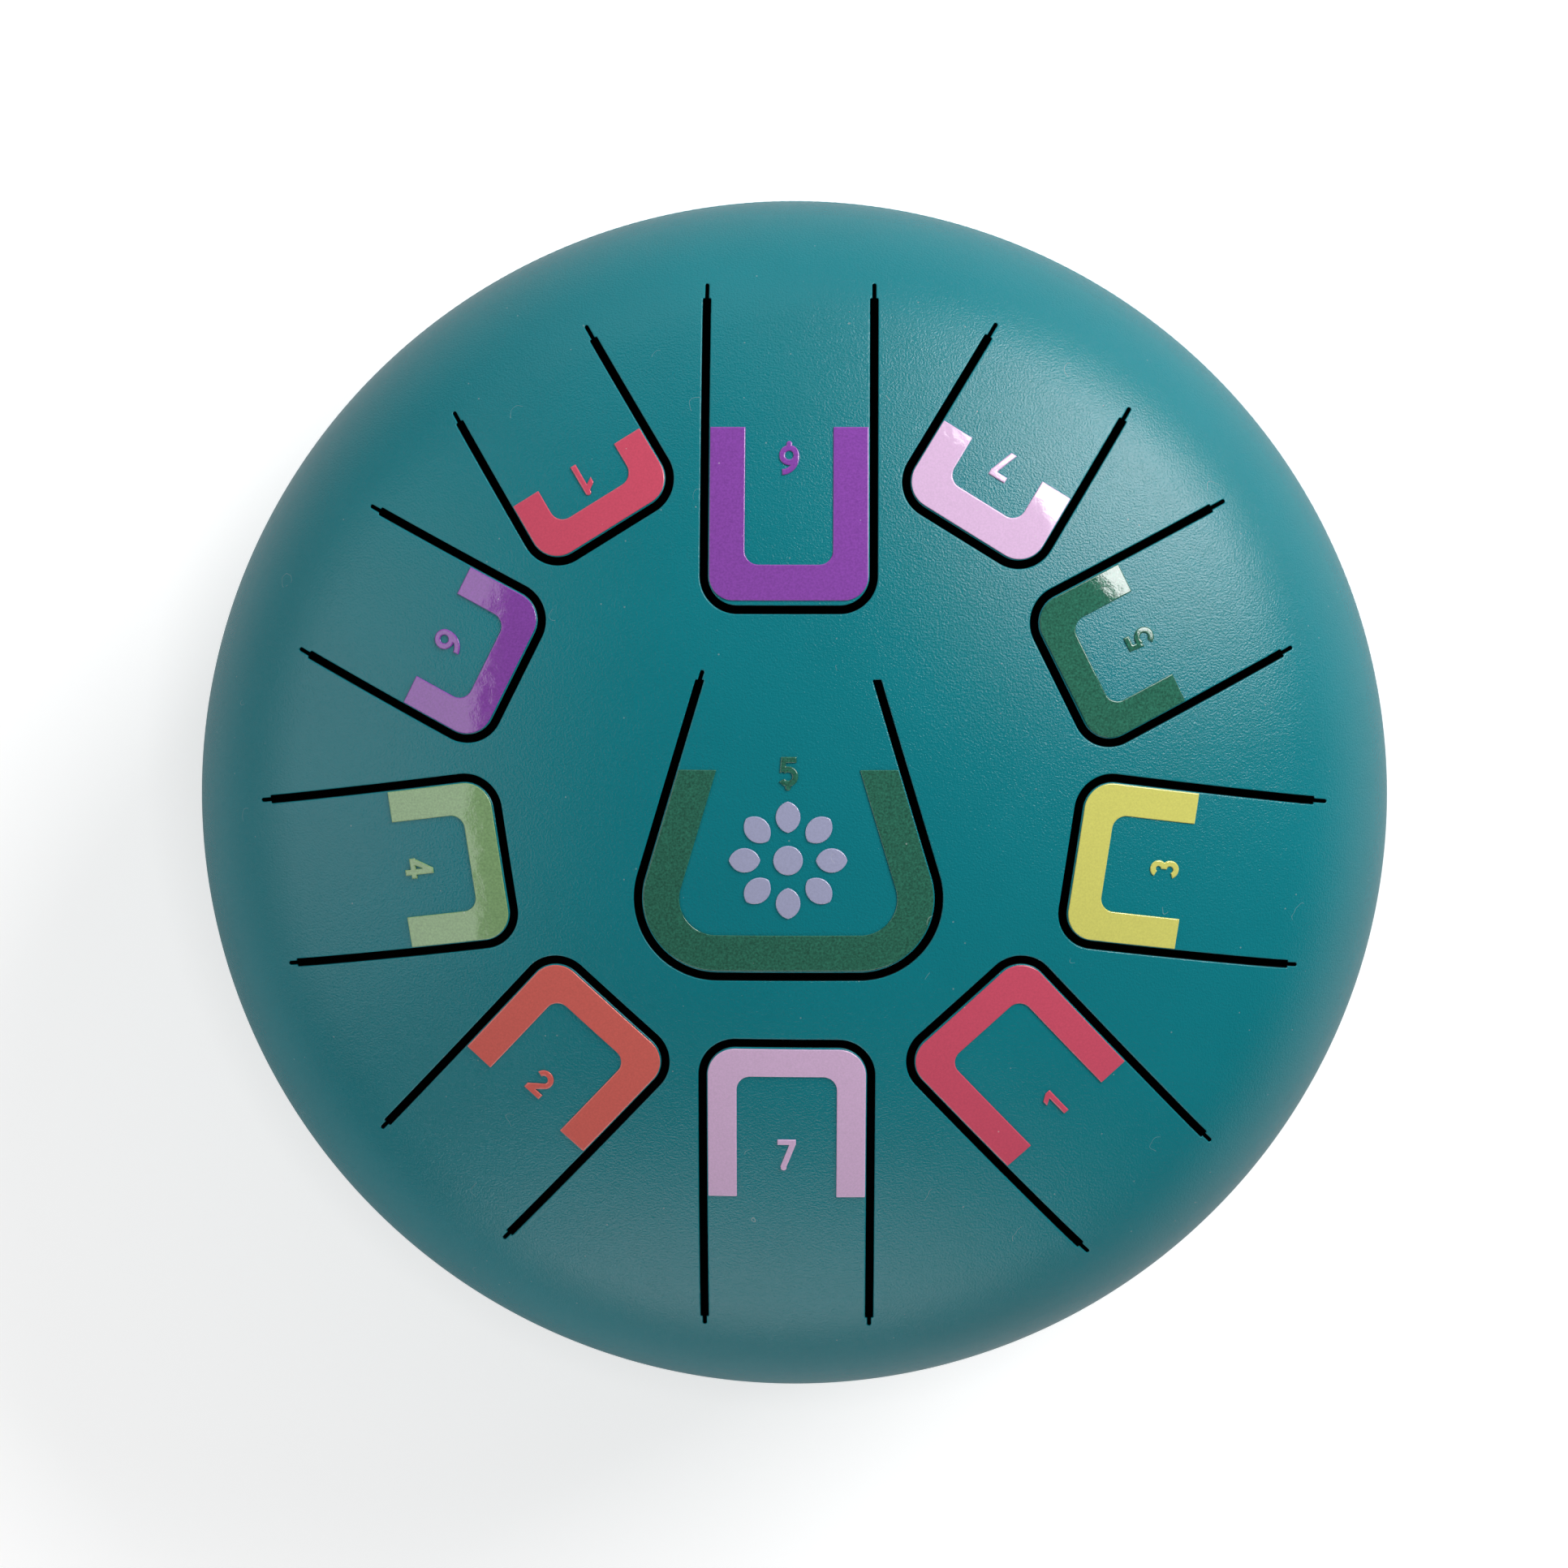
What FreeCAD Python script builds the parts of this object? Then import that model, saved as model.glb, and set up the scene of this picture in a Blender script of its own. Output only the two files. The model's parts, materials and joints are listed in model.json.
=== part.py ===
"""Steel tongue drum: two welded dished shells, eleven tongues cut in the upper one,
vinyl note marks, and three screwed rubber feet.

Millimetres. +Z is up, the origin is on the table under the drum's axis, and the player sits at -Y.
"""

import FreeCAD, Part

import math
import os
from collections import namedtuple

Vector = FreeCAD.Vector

# ---- body: two equal dishes, each a spherical crown that rolls over a knuckle into an upright rim
BODY_R = 127.0              # outside radius at the rim: a 10 inch drum
CROWN_R = 214.0             # outside radius of the spherical crown
KNUCKLE_R = 48.0            # outside radius of the rolled edge
SHEET = 1.6                 # steel thickness
RIM_Z = 72.0                # height of the rim above the table
WELD_GAP = 1.2              # gap between the two rims, filled by the weld
WELD_PROUD = 0.15           # how far the dressed bead stands out of the wall
WELD_ROOT = 0.5             # how far the bead runs through inside
SEAM_AZIMUTH = 8.5          # where the turned faces close, between two tongues
SOUND_HOLE_R = 21.0

KNUCKLE_CENTRE_R = BODY_R - KNUCKLE_R
CROWN_ANGLE = math.asin(KNUCKLE_CENTRE_R / (CROWN_R - KNUCKLE_R))
DISH_DEPTH = CROWN_R - math.sqrt((CROWN_R - KNUCKLE_R) ** 2 - KNUCKLE_CENTRE_R ** 2)
TOP_CROWN_Z = RIM_Z + DISH_DEPTH - CROWN_R        # centre of the upper crown's sphere
BOTTOM_CROWN_Z = RIM_Z - DISH_DEPTH + CROWN_R     # centre of the lower crown's sphere

# ---- slots and tongues
SLOT = 1.7                  # width of the cut round a tongue
TUNING_CUT = 0.8            # width of the finer cut that lengthens a slot to lower its note
ROOT_GAP = 0.2              # parting line between a tongue's solid and the shell it grows from
AXES_MEET_Y = 2.0           # the outer tongues all point at this spot just beyond the centre
CUT_FLOOR_Z = RIM_Z + 5.0
CUT_TOP_Z = RIM_Z + DISH_DEPTH + 5.0

# tip: from the meeting spot to the tip slot's centreline; length: from there to the slot's ends;
# width: between the side slots' centrelines, at the tip; cuts: fine cuts at the slot ends, left and
# right seen from the tip; leg: how far the mark runs from the tip; digit_at: the digit's middle
Tongue = namedtuple("Tongue", "note azimuth tip length width cuts leg band digit digit_at")
TONGUES = [
    Tongue("low_6", 90.0, 42.0, 62.6, 34.4, (3.0, 3.0), 36.6, 7.2, 6, 30.0),
    Tongue("low_7", -90.4, 46.4, 61.2, 34.4, (1.9, 1.9), 33.3, 5.9, 7, 23.6),
    Tongue("1", -47.7, 51.7, 57.4, 34.6, (2.6, 2.3), 33.0, 6.5, 1, 29.6),
    Tongue("2", -132.4, 52.0, 54.0, 34.4, (1.9, 1.9), 28.7, 6.5, 2, 23.7),
    Tongue("3", -8.6, 58.0, 49.0, 34.5, (2.0, 2.8), 24.4, 6.3, 3, 19.6),
    Tongue("4", -171.3, 58.4, 48.2, 34.5, (2.1, 1.8), 22.6, 6.3, 4, 18.4),
    Tongue("5", 26.4, 61.2, 43.8, 33.3, (2.4, 3.2), 21.4, 6.2, 5, 18.6),
    Tongue("6", 153.4, 61.9, 41.1, 33.1, (2.3, 2.4), 18.8, 6.1, 6, 16.0),
    Tongue("7", 58.3, 66.7, 37.1, 32.5, (2.8, 3.1), 17.8, 6.8, 7, 16.4),
    Tongue("high_1", 121.8, 67.5, 35.8, 32.5, (3.1, 2.4), 15.2, 6.1, 1, 12.8),
]
CORNER_R = 6.8              # centreline radius of an outer tongue's tip corners
CENTRE_NOTE = "low_5"
CENTRE_TIP_Y = -30.4        # the middle tongue's tip faces the player
CENTRE_TONGUE = Tongue(CENTRE_NOTE, 90.0, CENTRE_TIP_Y, 60.4, 72.0, (0.0, 1.9), 42.3, 7.4, 5, 42.0)
CENTRE_TAPER = 16.7         # each side closes by this angle from tip to root
CENTRE_CORNER_R = 16.0

# ---- note marks: thick cut vinyl with a gloss face
VINYL = 0.3
MARK_SIDE_GAP = 0.2         # bare steel between a mark and the slot beside it
MARK_TIP_GAP = 0.35
LOW_6_TIP_GAP = 1.0         # this mark lies further back from its tip
MARK_INNER_R = 2.8
DIGIT_H = 6.0
STROKE = 1.2
DOT_R = 0.6                 # octave dot, joined to its digit
DOT_OVERLAP = 0.4

# ---- rosette on the middle tongue
ROSETTE_Y = -6.4
ROSETTE_PETALS = 8
ROSETTE_R = 12.0
PETAL_W = 5.0
PETAL_START = 5.6
ROSETTE_EYE_R = 3.0

# ---- feet, standing square on the lower crown, with a sole cut level
FOOT_AZIMUTHS = {"front": -90.0, "right": 30.0, "left": 150.0}
FOOT_AT_R = 62.0            # from the drum's axis to the screw hole's mouth
FOOT_TOP_R = 13.0
FOOT_SOLE_R = 11.5
FOOT_RECESS_R = 6.0
FOOT_FLOOR = 4.0            # rubber left between the washer and the shell
SCREW_R = 1.95              # M4
SCREW_HOLE_R = 2.2
SCREW_LENGTH = 12.0
HEAD_R = 3.8
HEAD_H = 2.6
CROSS_SPAN, CROSS_W, CROSS_DEPTH = 4.2, 0.9, 1.5
WASHER_R, WASHER_T = 5.2, 0.9
NUT_ACROSS_FLATS, NUT_T = 7.0, 3.2
NUT_LIFT = 0.03             # a flat nut rides on the rim of the hole in the curved steel


# ---- flat outlines

def rounded_wire(corners):
    """A closed wire in the XY plane through (x, y, radius) corners, each rounded to its radius."""
    spots = [Vector(x, y, 0) for x, y, _ in corners]
    edges, starts, ends = [], [], []
    for i, (_, _, radius) in enumerate(corners):
        here = spots[i]
        back = (spots[i - 1] - here).normalize()
        ahead = (spots[(i + 1) % len(spots)] - here).normalize()
        if radius == 0:
            starts.append(here)
            ends.append(here)
            continue
        half = back.getAngle(ahead) / 2
        reach = radius / math.tan(half)
        middle_way = (back + ahead).normalize()
        centre = here + middle_way * (radius / math.sin(half))
        starts.append(here + back * reach)
        ends.append(here + ahead * reach)
        edges.append(Part.Arc(starts[-1], centre - middle_way * radius, ends[-1]).toShape())
    for i in range(len(spots)):
        edges.append(Part.LineSegment(ends[i], starts[(i + 1) % len(spots)]).toShape())
    return Part.Wire(Part.__sortEdges__(edges))


def prism(wire, low=CUT_FLOOR_Z, high=CUT_TOP_Z):
    """The upright solid over a flat closed wire."""
    face = Part.Face(wire)
    face.translate(Vector(0, 0, low))
    return face.extrude(Vector(0, 0, high - low))


def taper_of(tongue):
    return math.radians(CENTRE_TAPER) if tongue.note == CENTRE_NOTE else 0.0


def corner_of(tongue):
    return CENTRE_CORNER_R if tongue.note == CENTRE_NOTE else CORNER_R


def half_width(tongue, along, grow=0.0):
    """Half the width at a distance from the tip, grown sideways from the slot's centreline."""
    taper = taper_of(tongue)
    return tongue.width / 2 + grow / math.cos(taper) - along * math.tan(taper)


def tongue_corners(tongue, grow_side, grow_tip, end, corner_r):
    """Outline round a tongue in its own frame: X from tip to root, Y across."""
    tip = -grow_tip
    at_tip, at_end = (half_width(tongue, s, grow_side) for s in (tip, end))
    return [(tip, -at_tip, corner_r), (end, -at_end, 0), (end, at_end, 0), (tip, at_tip, corner_r)]


def place(shape, tongue):
    """Moves a shape from a tongue's own frame to its place on the drum."""
    is_centre = tongue.note == CENTRE_NOTE
    meet_y = 0.0 if is_centre else AXES_MEET_Y
    shape = shape.copy()
    shape.translate(Vector(tongue.tip, 0, 0))
    shape.rotate(Vector(0, 0, 0), Vector(0, 0, 1), tongue.azimuth)
    shape.translate(Vector(0, meet_y, 0))
    return shape


# ---- shells

def dish_profile(offset, crown_z, up):
    """Edges of a dish's section from pole to rim, and its end points; offset is inwards."""
    crown_r, knuckle_r = CROWN_R - offset, KNUCKLE_R - offset
    rim_z = RIM_Z + up * WELD_GAP / 2
    end_angle = math.asin(WELD_GAP / 2 / knuckle_r)

    def on_crown(angle):
        return Vector(crown_r * math.sin(angle), 0, crown_z + up * crown_r * math.cos(angle))

    def on_knuckle(angle):
        radius = KNUCKLE_CENTRE_R + knuckle_r * math.cos(angle)
        return Vector(radius, 0, RIM_Z + up * knuckle_r * math.sin(angle))

    joint_angle = math.pi / 2 - CROWN_ANGLE
    pole, joint = on_crown(0), on_crown(CROWN_ANGLE)
    rim = on_knuckle(end_angle)
    assert abs(rim.z - rim_z) < 1e-9
    crown = Part.Arc(pole, on_crown(CROWN_ANGLE / 2), joint).toShape()
    knuckle = Part.Arc(joint, on_knuckle((joint_angle + end_angle) / 2), rim).toShape()
    return [crown, knuckle], pole, rim


def dish(crown_z, up):
    """One pressed dish, whole: up is 1 for the upper one and -1 for the lower one."""
    outside, outer_pole, outer_rim = dish_profile(0.0, crown_z, up)
    inside, inner_pole, inner_rim = dish_profile(SHEET, crown_z, up)
    ends = [
        Part.LineSegment(outer_pole, inner_pole).toShape(),
        Part.LineSegment(outer_rim, inner_rim).toShape(),
    ]
    face = Part.Face(Part.Wire(Part.__sortEdges__(outside + inside + ends)))
    face.rotate(Vector(0, 0, 0), Vector(0, 0, 1), SEAM_AZIMUTH)
    return face.revolve(Vector(0, 0, 0), Vector(0, 0, 1), 360)


def crown_layer(inner_r, outer_r):
    """A spherical layer over the upper crown, with its poles level so that none lies on top."""
    centre, axis = Vector(0, 0, TOP_CROWN_Z), Vector(1, 0, 0)
    return Part.makeSphere(outer_r, centre, axis).cut(Part.makeSphere(inner_r, centre, axis))


def tuning_cuts(tongue):
    """The fine cuts that run on from the slot's two ends."""
    cuts, taper = [], taper_of(tongue)
    for side, reach in zip((-1, 1), tongue.cuts):
        if reach == 0:
            continue
        bar = Part.makeBox(reach + SLOT, TUNING_CUT, CUT_TOP_Z - CUT_FLOOR_Z)
        bar.translate(Vector(-SLOT, -TUNING_CUT / 2, CUT_FLOOR_Z))
        bar.rotate(Vector(0, 0, 0), Vector(0, 0, 1), -side * math.degrees(taper))
        bar.translate(Vector(tongue.length, side * half_width(tongue, tongue.length), 0))
        cuts.append(bar)
    return cuts


def window(tongue):
    """What the slot and the tongue take out of the upper shell."""
    wire = rounded_wire(tongue_corners(
        tongue, SLOT / 2, SLOT / 2, tongue.length, corner_of(tongue) + SLOT / 2))
    return prism(wire).multiFuse(tuning_cuts(tongue)) if any(tongue.cuts) else prism(wire)


def tongue_blank(tongue):
    """The upright prism that bounds a tongue, up to its root."""
    wire = rounded_wire(tongue_corners(
        tongue, -SLOT / 2, -SLOT / 2, tongue.length - ROOT_GAP, corner_of(tongue) - SLOT / 2))
    return prism(wire)


def make_top_shell(blank):
    shell = blank
    for tongue in TONGUES + [CENTRE_TONGUE]:
        shell = shell.cut(place(window(tongue), tongue))
    return shell


def make_tongue(tongue, blank):
    """A tongue is the steel inside its slot. The middle one lies wholly on the crown."""
    if tongue.note == CENTRE_NOTE:
        blank = crown_layer(CROWN_R - SHEET, CROWN_R)
    return blank.common(place(tongue_blank(tongue), tongue))


def make_bottom_shell():
    shell = dish(BOTTOM_CROWN_Z, -1)
    shell = shell.cut(Part.makeCylinder(SOUND_HOLE_R, RIM_Z))
    for azimuth in FOOT_AZIMUTHS.values():
        shell = shell.cut(on_foot_axis(Part.makeCylinder(
            SCREW_HOLE_R, 6 * SHEET, Vector(0, 0, -3 * SHEET)), azimuth))
    return shell


def make_rim_weld():
    """The dressed bead that joins the two rims, with its root inside."""
    outer = Part.makeCylinder(BODY_R + WELD_PROUD, WELD_GAP)
    inner = Part.makeCylinder(BODY_R - SHEET - WELD_ROOT, WELD_GAP)
    weld = outer.cut(inner)
    weld.rotate(Vector(0, 0, 0), Vector(0, 0, 1), SEAM_AZIMUTH)
    weld.translate(Vector(0, 0, RIM_Z - WELD_GAP / 2))
    return weld


# ---- note marks

def make_mark(tongue, layer):
    """The U of vinyl round a tongue's tip."""
    gap = LOW_6_TIP_GAP if tongue.note == "low_6" else MARK_TIP_GAP
    side, tip = SLOT / 2 + MARK_SIDE_GAP, SLOT / 2 + gap
    outer_r = corner_of(tongue) - tip
    inner_r = max(MARK_INNER_R, outer_r - tongue.band)
    outer = prism(rounded_wire(tongue_corners(tongue, -side, -tip, tongue.leg, outer_r)))
    past_legs = tongue.leg + tongue.band
    inner = prism(rounded_wire(tongue_corners(
        tongue, -side - tongue.band, -tip - tongue.band, past_legs, inner_r)))
    return layer.common(place(outer.cut(inner), tongue))


def bar(x0, y0, x1, y1):
    """A straight stroke between two points on its centreline, cut square."""
    start, end = Vector(x0, y0, 0), Vector(x1, y1, 0)
    along = (end - start).normalize()
    across = Vector(-along.y, along.x, 0) * (STROKE / 2)
    points = [start - across, end - across, end + across, start + across]
    return Part.Face(Part.makePolygon(points + points[:1]))


def ring(x, y, radius, start, end):
    """A round stroke about a centre, from one angle anticlockwise to another."""
    outer = Part.makeCylinder(radius + STROKE / 2, 1, Vector(x, y, 0), Vector(0, 0, 1), end - start)
    inner = Part.makeCylinder(radius - STROKE / 2, 1, Vector(x, y, 0))
    outer.rotate(Vector(x, y, 0), Vector(0, 0, 1), start)
    return outer.cut(inner)


def shape_of(*points):
    spots = [Vector(x, y, 0) for x, y in points]
    return Part.Face(Part.makePolygon(spots + spots[:1]))


def digit_strokes(digit):
    """The strokes of a digit, its baseline on Y 0 and its middle on X 0."""
    top, mid = DIGIT_H, STROKE / 2
    bowl_r = 1.45
    bowl_y = bowl_r + mid
    if digit == 1:
        flag = shape_of((-0.1, top), (-1.6, 5.0), (-1.6, 3.8), (-0.1, 4.7))
        return [bar(0.4, 0, 0.4, top), flag]
    if digit == 2:
        neck = math.radians(-40)
        knee = (bowl_r * math.cos(neck), top - bowl_y + bowl_r * math.sin(neck))
        slope = shape_of((knee[0] - 0.4, knee[1] + 0.45), (-2.0, 1.1), (-2.0, 0.6),
                         (-0.55, 0.6), (knee[0] + 0.45, knee[1] - 0.35))
        return [ring(0, top - bowl_y, bowl_r, -40, 165), slope, bar(-2.0, mid, 2.0, mid)]
    if digit == 3:
        upper_r, lower_r = 1.12, 1.28
        return [ring(0, top - mid - upper_r, upper_r, -90, 155),
                ring(0, mid + lower_r, lower_r, -155, 90)]
    if digit == 4:
        slope = shape_of((0.2, top), (1.35, top), (-0.65, 2.2), (-2.1, 2.2))
        return [bar(0.75, 0, 0.75, top), bar(-2.1, 1.8, 2.1, 1.8), slope]
    if digit == 5:
        stem = shape_of((-1.4, top), (-0.3, top), (-0.5, 3.2), (-1.7, 2.75))
        return [bar(-1.4, top - mid, 1.7, top - mid), stem, ring(0, bowl_y, bowl_r, -150, 138)]
    if digit == 6:
        tail_r = 3.0
        return [ring(0, bowl_y, bowl_r, 0, 360), ring(tail_r - bowl_r, bowl_y + 0.4, tail_r, 92, 188)]
    stem = shape_of((0.6, top - 1.0), (1.9, top - 1.0), (0.0, 0), (-1.3, 0))
    return [bar(-1.9, top - mid, 1.9, top - mid), stem]


DOT_X = {1: 0.4, 5: 0.0, 6: 0.0, 7: -0.6}


def make_number(tongue, layer):
    """A digit and its octave dot: under a low note, over a high one."""
    strokes = digit_strokes(tongue.digit)
    if tongue.note.startswith(("low", "high")):
        low = tongue.note.startswith("low")
        dot_y = -DOT_R + DOT_OVERLAP if low else DIGIT_H + DOT_R - DOT_OVERLAP
        strokes.append(Part.makeCylinder(DOT_R, 1, Vector(DOT_X[tongue.digit], dot_y, 0)))
    height = CUT_TOP_Z - CUT_FLOOR_Z
    solids = []
    for stroke in strokes:
        face = stroke if stroke.ShapeType == "Face" else lowest_face(stroke)
        solids.append(face.extrude(Vector(0, 0, height)))
    digit = solids[0].multiFuse(solids[1:]).removeSplitter()
    # a digit's head points at the drum's centre, and on the middle tongue at its root
    head = -90 if tongue.note == CENTRE_NOTE else 90
    digit.translate(Vector(0, -DIGIT_H / 2, CUT_FLOOR_Z))
    digit.rotate(Vector(0, 0, 0), Vector(0, 0, 1), head)
    digit.translate(Vector(tongue.digit_at, 0, 0))
    return layer.common(place(digit, tongue))


def lowest_face(solid):
    return min(solid.Faces, key=lambda face: face.CenterOfMass.z)


def petal():
    """A pointed petal along +X, two arcs that meet at both ends."""
    start, end = Vector(PETAL_START, 0, 0), Vector(ROSETTE_R, 0, 0)
    middle = (PETAL_START + ROSETTE_R) / 2
    sides = [
        Part.Arc(start, Vector(middle, side * PETAL_W / 2, 0), end).toShape() for side in (-1, 1)
    ]
    return prism(Part.Wire(Part.__sortEdges__(sides)))


def make_rosette(layer):
    """A plain ring of petals round an eye, each cut from its own scrap of vinyl."""
    pieces = [Part.makeCylinder(ROSETTE_EYE_R, CUT_TOP_Z - CUT_FLOOR_Z, Vector(0, 0, CUT_FLOOR_Z))]
    for i in range(ROSETTE_PETALS):
        one = petal()
        one.rotate(Vector(0, 0, 0), Vector(0, 0, 1), 360 * i / ROSETTE_PETALS)
        pieces.append(one)
    flat = Part.makeCompound(pieces)
    flat.translate(Vector(0, ROSETTE_Y, 0))
    return Part.makeCompound([layer.common(piece) for piece in flat.Solids])


# ---- feet and their fasteners, each made on +Z down through the shell's outer face at Z 0

def on_foot_axis(shape, azimuth):
    """Moves a shape whose +Z leaves the shell squarely, to a foot's place."""
    lean = math.asin(FOOT_AT_R / CROWN_R)
    height = BOTTOM_CROWN_Z - CROWN_R * math.cos(lean)
    shape = shape.copy()
    shape.rotate(Vector(0, 0, 0), Vector(0, 1, 0), 180 - math.degrees(lean))
    shape.translate(Vector(FOOT_AT_R, 0, height))
    shape.rotate(Vector(0, 0, 0), Vector(0, 0, 1), azimuth)
    return shape


def foot_blank_length():
    lean = math.asin(FOOT_AT_R / CROWN_R)
    height = BOTTOM_CROWN_Z - CROWN_R * math.cos(lean)
    return height / math.cos(lean) + FOOT_TOP_R


def make_foot(azimuth):
    """A rubber foot whose top fits the shell and whose sole is level."""
    above = 3.0
    length = foot_blank_length()
    slope = (FOOT_TOP_R - FOOT_SOLE_R) / length
    cone = Part.makeCone(FOOT_TOP_R + above * slope, FOOT_SOLE_R, length + above,
                         Vector(0, 0, -above))
    recess = Part.makeCylinder(FOOT_RECESS_R, length, Vector(0, 0, FOOT_FLOOR))
    hole = Part.makeCylinder(SCREW_HOLE_R, 2 * FOOT_FLOOR + above, Vector(0, 0, -above))
    foot = on_foot_axis(cone.cut(recess).cut(hole), azimuth)
    crown = Part.makeSphere(CROWN_R, Vector(0, 0, BOTTOM_CROWN_Z), Vector(1, 0, 0))
    below = Part.makeBox(2 * BODY_R, 2 * BODY_R, RIM_Z, Vector(-BODY_R, -BODY_R, -RIM_Z))
    return foot.cut(crown).cut(below)


def make_washer(azimuth):
    washer = Part.makeCylinder(WASHER_R, WASHER_T).cut(Part.makeCylinder(SCREW_HOLE_R, WASHER_T))
    washer.translate(Vector(0, 0, FOOT_FLOOR))
    return on_foot_axis(washer, azimuth)


def make_screw(azimuth):
    """A pan head machine screw with a cross recess, its head against the washer."""
    head_z = FOOT_FLOOR + WASHER_T
    shank = Part.makeCylinder(SCREW_R, SCREW_LENGTH, Vector(0, 0, head_z - SCREW_LENGTH))
    head = Part.makeCylinder(HEAD_R, HEAD_H, Vector(0, 0, head_z))
    rim = [edge for edge in head.Edges if abs(edge.CenterOfMass.z - head_z - HEAD_H) < 1e-6
           and abs(edge.Length - 2 * math.pi * HEAD_R) < 1e-3]
    head = head.makeFillet(HEAD_H * 0.45, rim)
    cross = [
        Part.makeBox(a, b, CROSS_DEPTH, Vector(-a / 2, -b / 2, head_z + HEAD_H - CROSS_DEPTH))
        for a, b in ((CROSS_SPAN, CROSS_W), (CROSS_W, CROSS_SPAN))
    ]
    screw = head.fuse(shank).cut(cross[0].fuse(cross[1]))
    return on_foot_axis(screw.removeSplitter(), azimuth)


def make_nut(azimuth):
    corner_r = NUT_ACROSS_FLATS / math.sqrt(3)
    corners = [
        Vector(corner_r * math.cos(math.radians(60 * i)), corner_r * math.sin(math.radians(60 * i)), 0)
        for i in range(6)
    ]
    seat_z = -SHEET - NUT_LIFT
    hexagon = Part.Face(Part.makePolygon(corners + corners[:1])).extrude(Vector(0, 0, -NUT_T))
    nut = hexagon.cut(Part.makeCylinder(SCREW_R, 2 * NUT_T, Vector(0, 0, -2 * NUT_T)))
    nut.translate(Vector(0, 0, seat_z))
    return on_foot_axis(nut, azimuth)


def check(name, shape):
    """Stops the build on a broken piece, and says how many solids it has and their volume."""
    for solid in shape.Solids:
        if not solid.isValid() or solid.Volume <= 0:
            raise ValueError(name + " is not a valid closed solid")
    if not shape.Solids:
        raise ValueError(name + " holds no solid")
    print(f"{name}: {len(shape.Solids)} solid(s), {shape.Volume:.1f} mm3")


def build():
    """Every piece of the drum by name."""
    top_blank = dish(TOP_CROWN_Z, 1)
    vinyl_layer = crown_layer(CROWN_R, CROWN_R + VINYL)
    parts = {
        "top_shell": make_top_shell(top_blank),
        "bottom_shell": make_bottom_shell(),
        "rim_weld": make_rim_weld(),
        "centre_rosette": make_rosette(vinyl_layer),
    }
    for tongue in TONGUES + [CENTRE_TONGUE]:
        parts["tongue_" + tongue.note] = make_tongue(tongue, top_blank)
        parts["mark_" + tongue.note] = make_mark(tongue, vinyl_layer)
        parts["number_" + tongue.note] = make_number(tongue, vinyl_layer)
    for place_name, azimuth in FOOT_AZIMUTHS.items():
        parts["foot_" + place_name] = make_foot(azimuth)
        parts["foot_washer_" + place_name] = make_washer(azimuth)
        parts["foot_screw_" + place_name] = make_screw(azimuth)
        parts["foot_nut_" + place_name] = make_nut(azimuth)
    return parts


def main():
    os.makedirs("parts", exist_ok=True)
    for name, shape in build().items():
        check(name, shape)
        shape.exportStep(f"parts/{name}.step")


main()
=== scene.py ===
"""Looks of the steel tongue drum: sprayed shells and tongues, cut vinyl marks and rubber feet.

Tables and plan outlines are in millimetres. Meshes are in metres, in the frame's own axes: +Z up,
the table at Z 0 and the player at -Y.
"""

import json
import math
from collections import namedtuple
from itertools import accumulate

import bpy
from mathutils import Matrix, Vector
from mathutils.geometry import delaunay_2d_cdt
from mathutils.kdtree import KDTree


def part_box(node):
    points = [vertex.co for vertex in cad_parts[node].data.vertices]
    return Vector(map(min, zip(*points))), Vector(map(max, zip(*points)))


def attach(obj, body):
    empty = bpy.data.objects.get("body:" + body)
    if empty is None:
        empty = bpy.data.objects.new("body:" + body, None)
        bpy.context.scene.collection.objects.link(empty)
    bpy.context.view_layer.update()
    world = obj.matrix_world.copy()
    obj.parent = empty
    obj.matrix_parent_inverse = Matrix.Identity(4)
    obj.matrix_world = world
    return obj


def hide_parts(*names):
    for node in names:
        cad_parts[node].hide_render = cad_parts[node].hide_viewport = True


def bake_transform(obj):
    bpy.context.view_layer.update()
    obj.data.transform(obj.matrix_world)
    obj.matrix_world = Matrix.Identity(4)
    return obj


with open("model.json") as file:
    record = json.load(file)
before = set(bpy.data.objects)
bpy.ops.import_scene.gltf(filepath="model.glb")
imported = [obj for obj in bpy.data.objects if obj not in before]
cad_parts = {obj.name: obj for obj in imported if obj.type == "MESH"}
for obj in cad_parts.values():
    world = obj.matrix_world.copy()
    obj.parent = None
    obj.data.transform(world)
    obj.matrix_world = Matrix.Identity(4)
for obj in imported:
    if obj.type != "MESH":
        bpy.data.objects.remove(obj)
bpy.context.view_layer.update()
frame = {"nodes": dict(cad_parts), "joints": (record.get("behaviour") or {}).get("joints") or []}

bl_info = {
    "name": "Steel Tongue Drum",
    "version": (1, 0, 0),
    "blender": (4, 5, 0),
    "location": "3D View > Sidebar > Drum",
    "description": "Builds the sprayed shells, tongues, vinyl marks and feet over the drum's frame",
    "category": "Object",
}

MM = 0.001
JOINTS = {joint["name"]: joint for joint in frame["joints"]}

# ---- the pressed dish: a spherical crown that rolls over a knuckle into an upright rim
BODY_R = 127.0
CROWN_R = 214.0
KNUCKLE_R = 48.0
SHEET = 1.6
KNUCKLE_CENTRE_R = BODY_R - KNUCKLE_R
CROWN_ANGLE = math.asin(KNUCKLE_CENTRE_R / (CROWN_R - KNUCKLE_R))
CROWN_ARC = CROWN_R * CROWN_ANGLE
DISH_DEPTH = CROWN_R - math.sqrt((CROWN_R - KNUCKLE_R) ** 2 - KNUCKLE_CENTRE_R ** 2)
WELD_LOW, WELD_HIGH = (corner[2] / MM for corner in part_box("rim_weld"))
RIM_Z = (WELD_LOW + WELD_HIGH) / 2
CROWN_Z = RIM_Z + DISH_DEPTH - CROWN_R            # centre of the upper crown's sphere
LOWER_CROWN_Z = RIM_Z - DISH_DEPTH + CROWN_R
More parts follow.
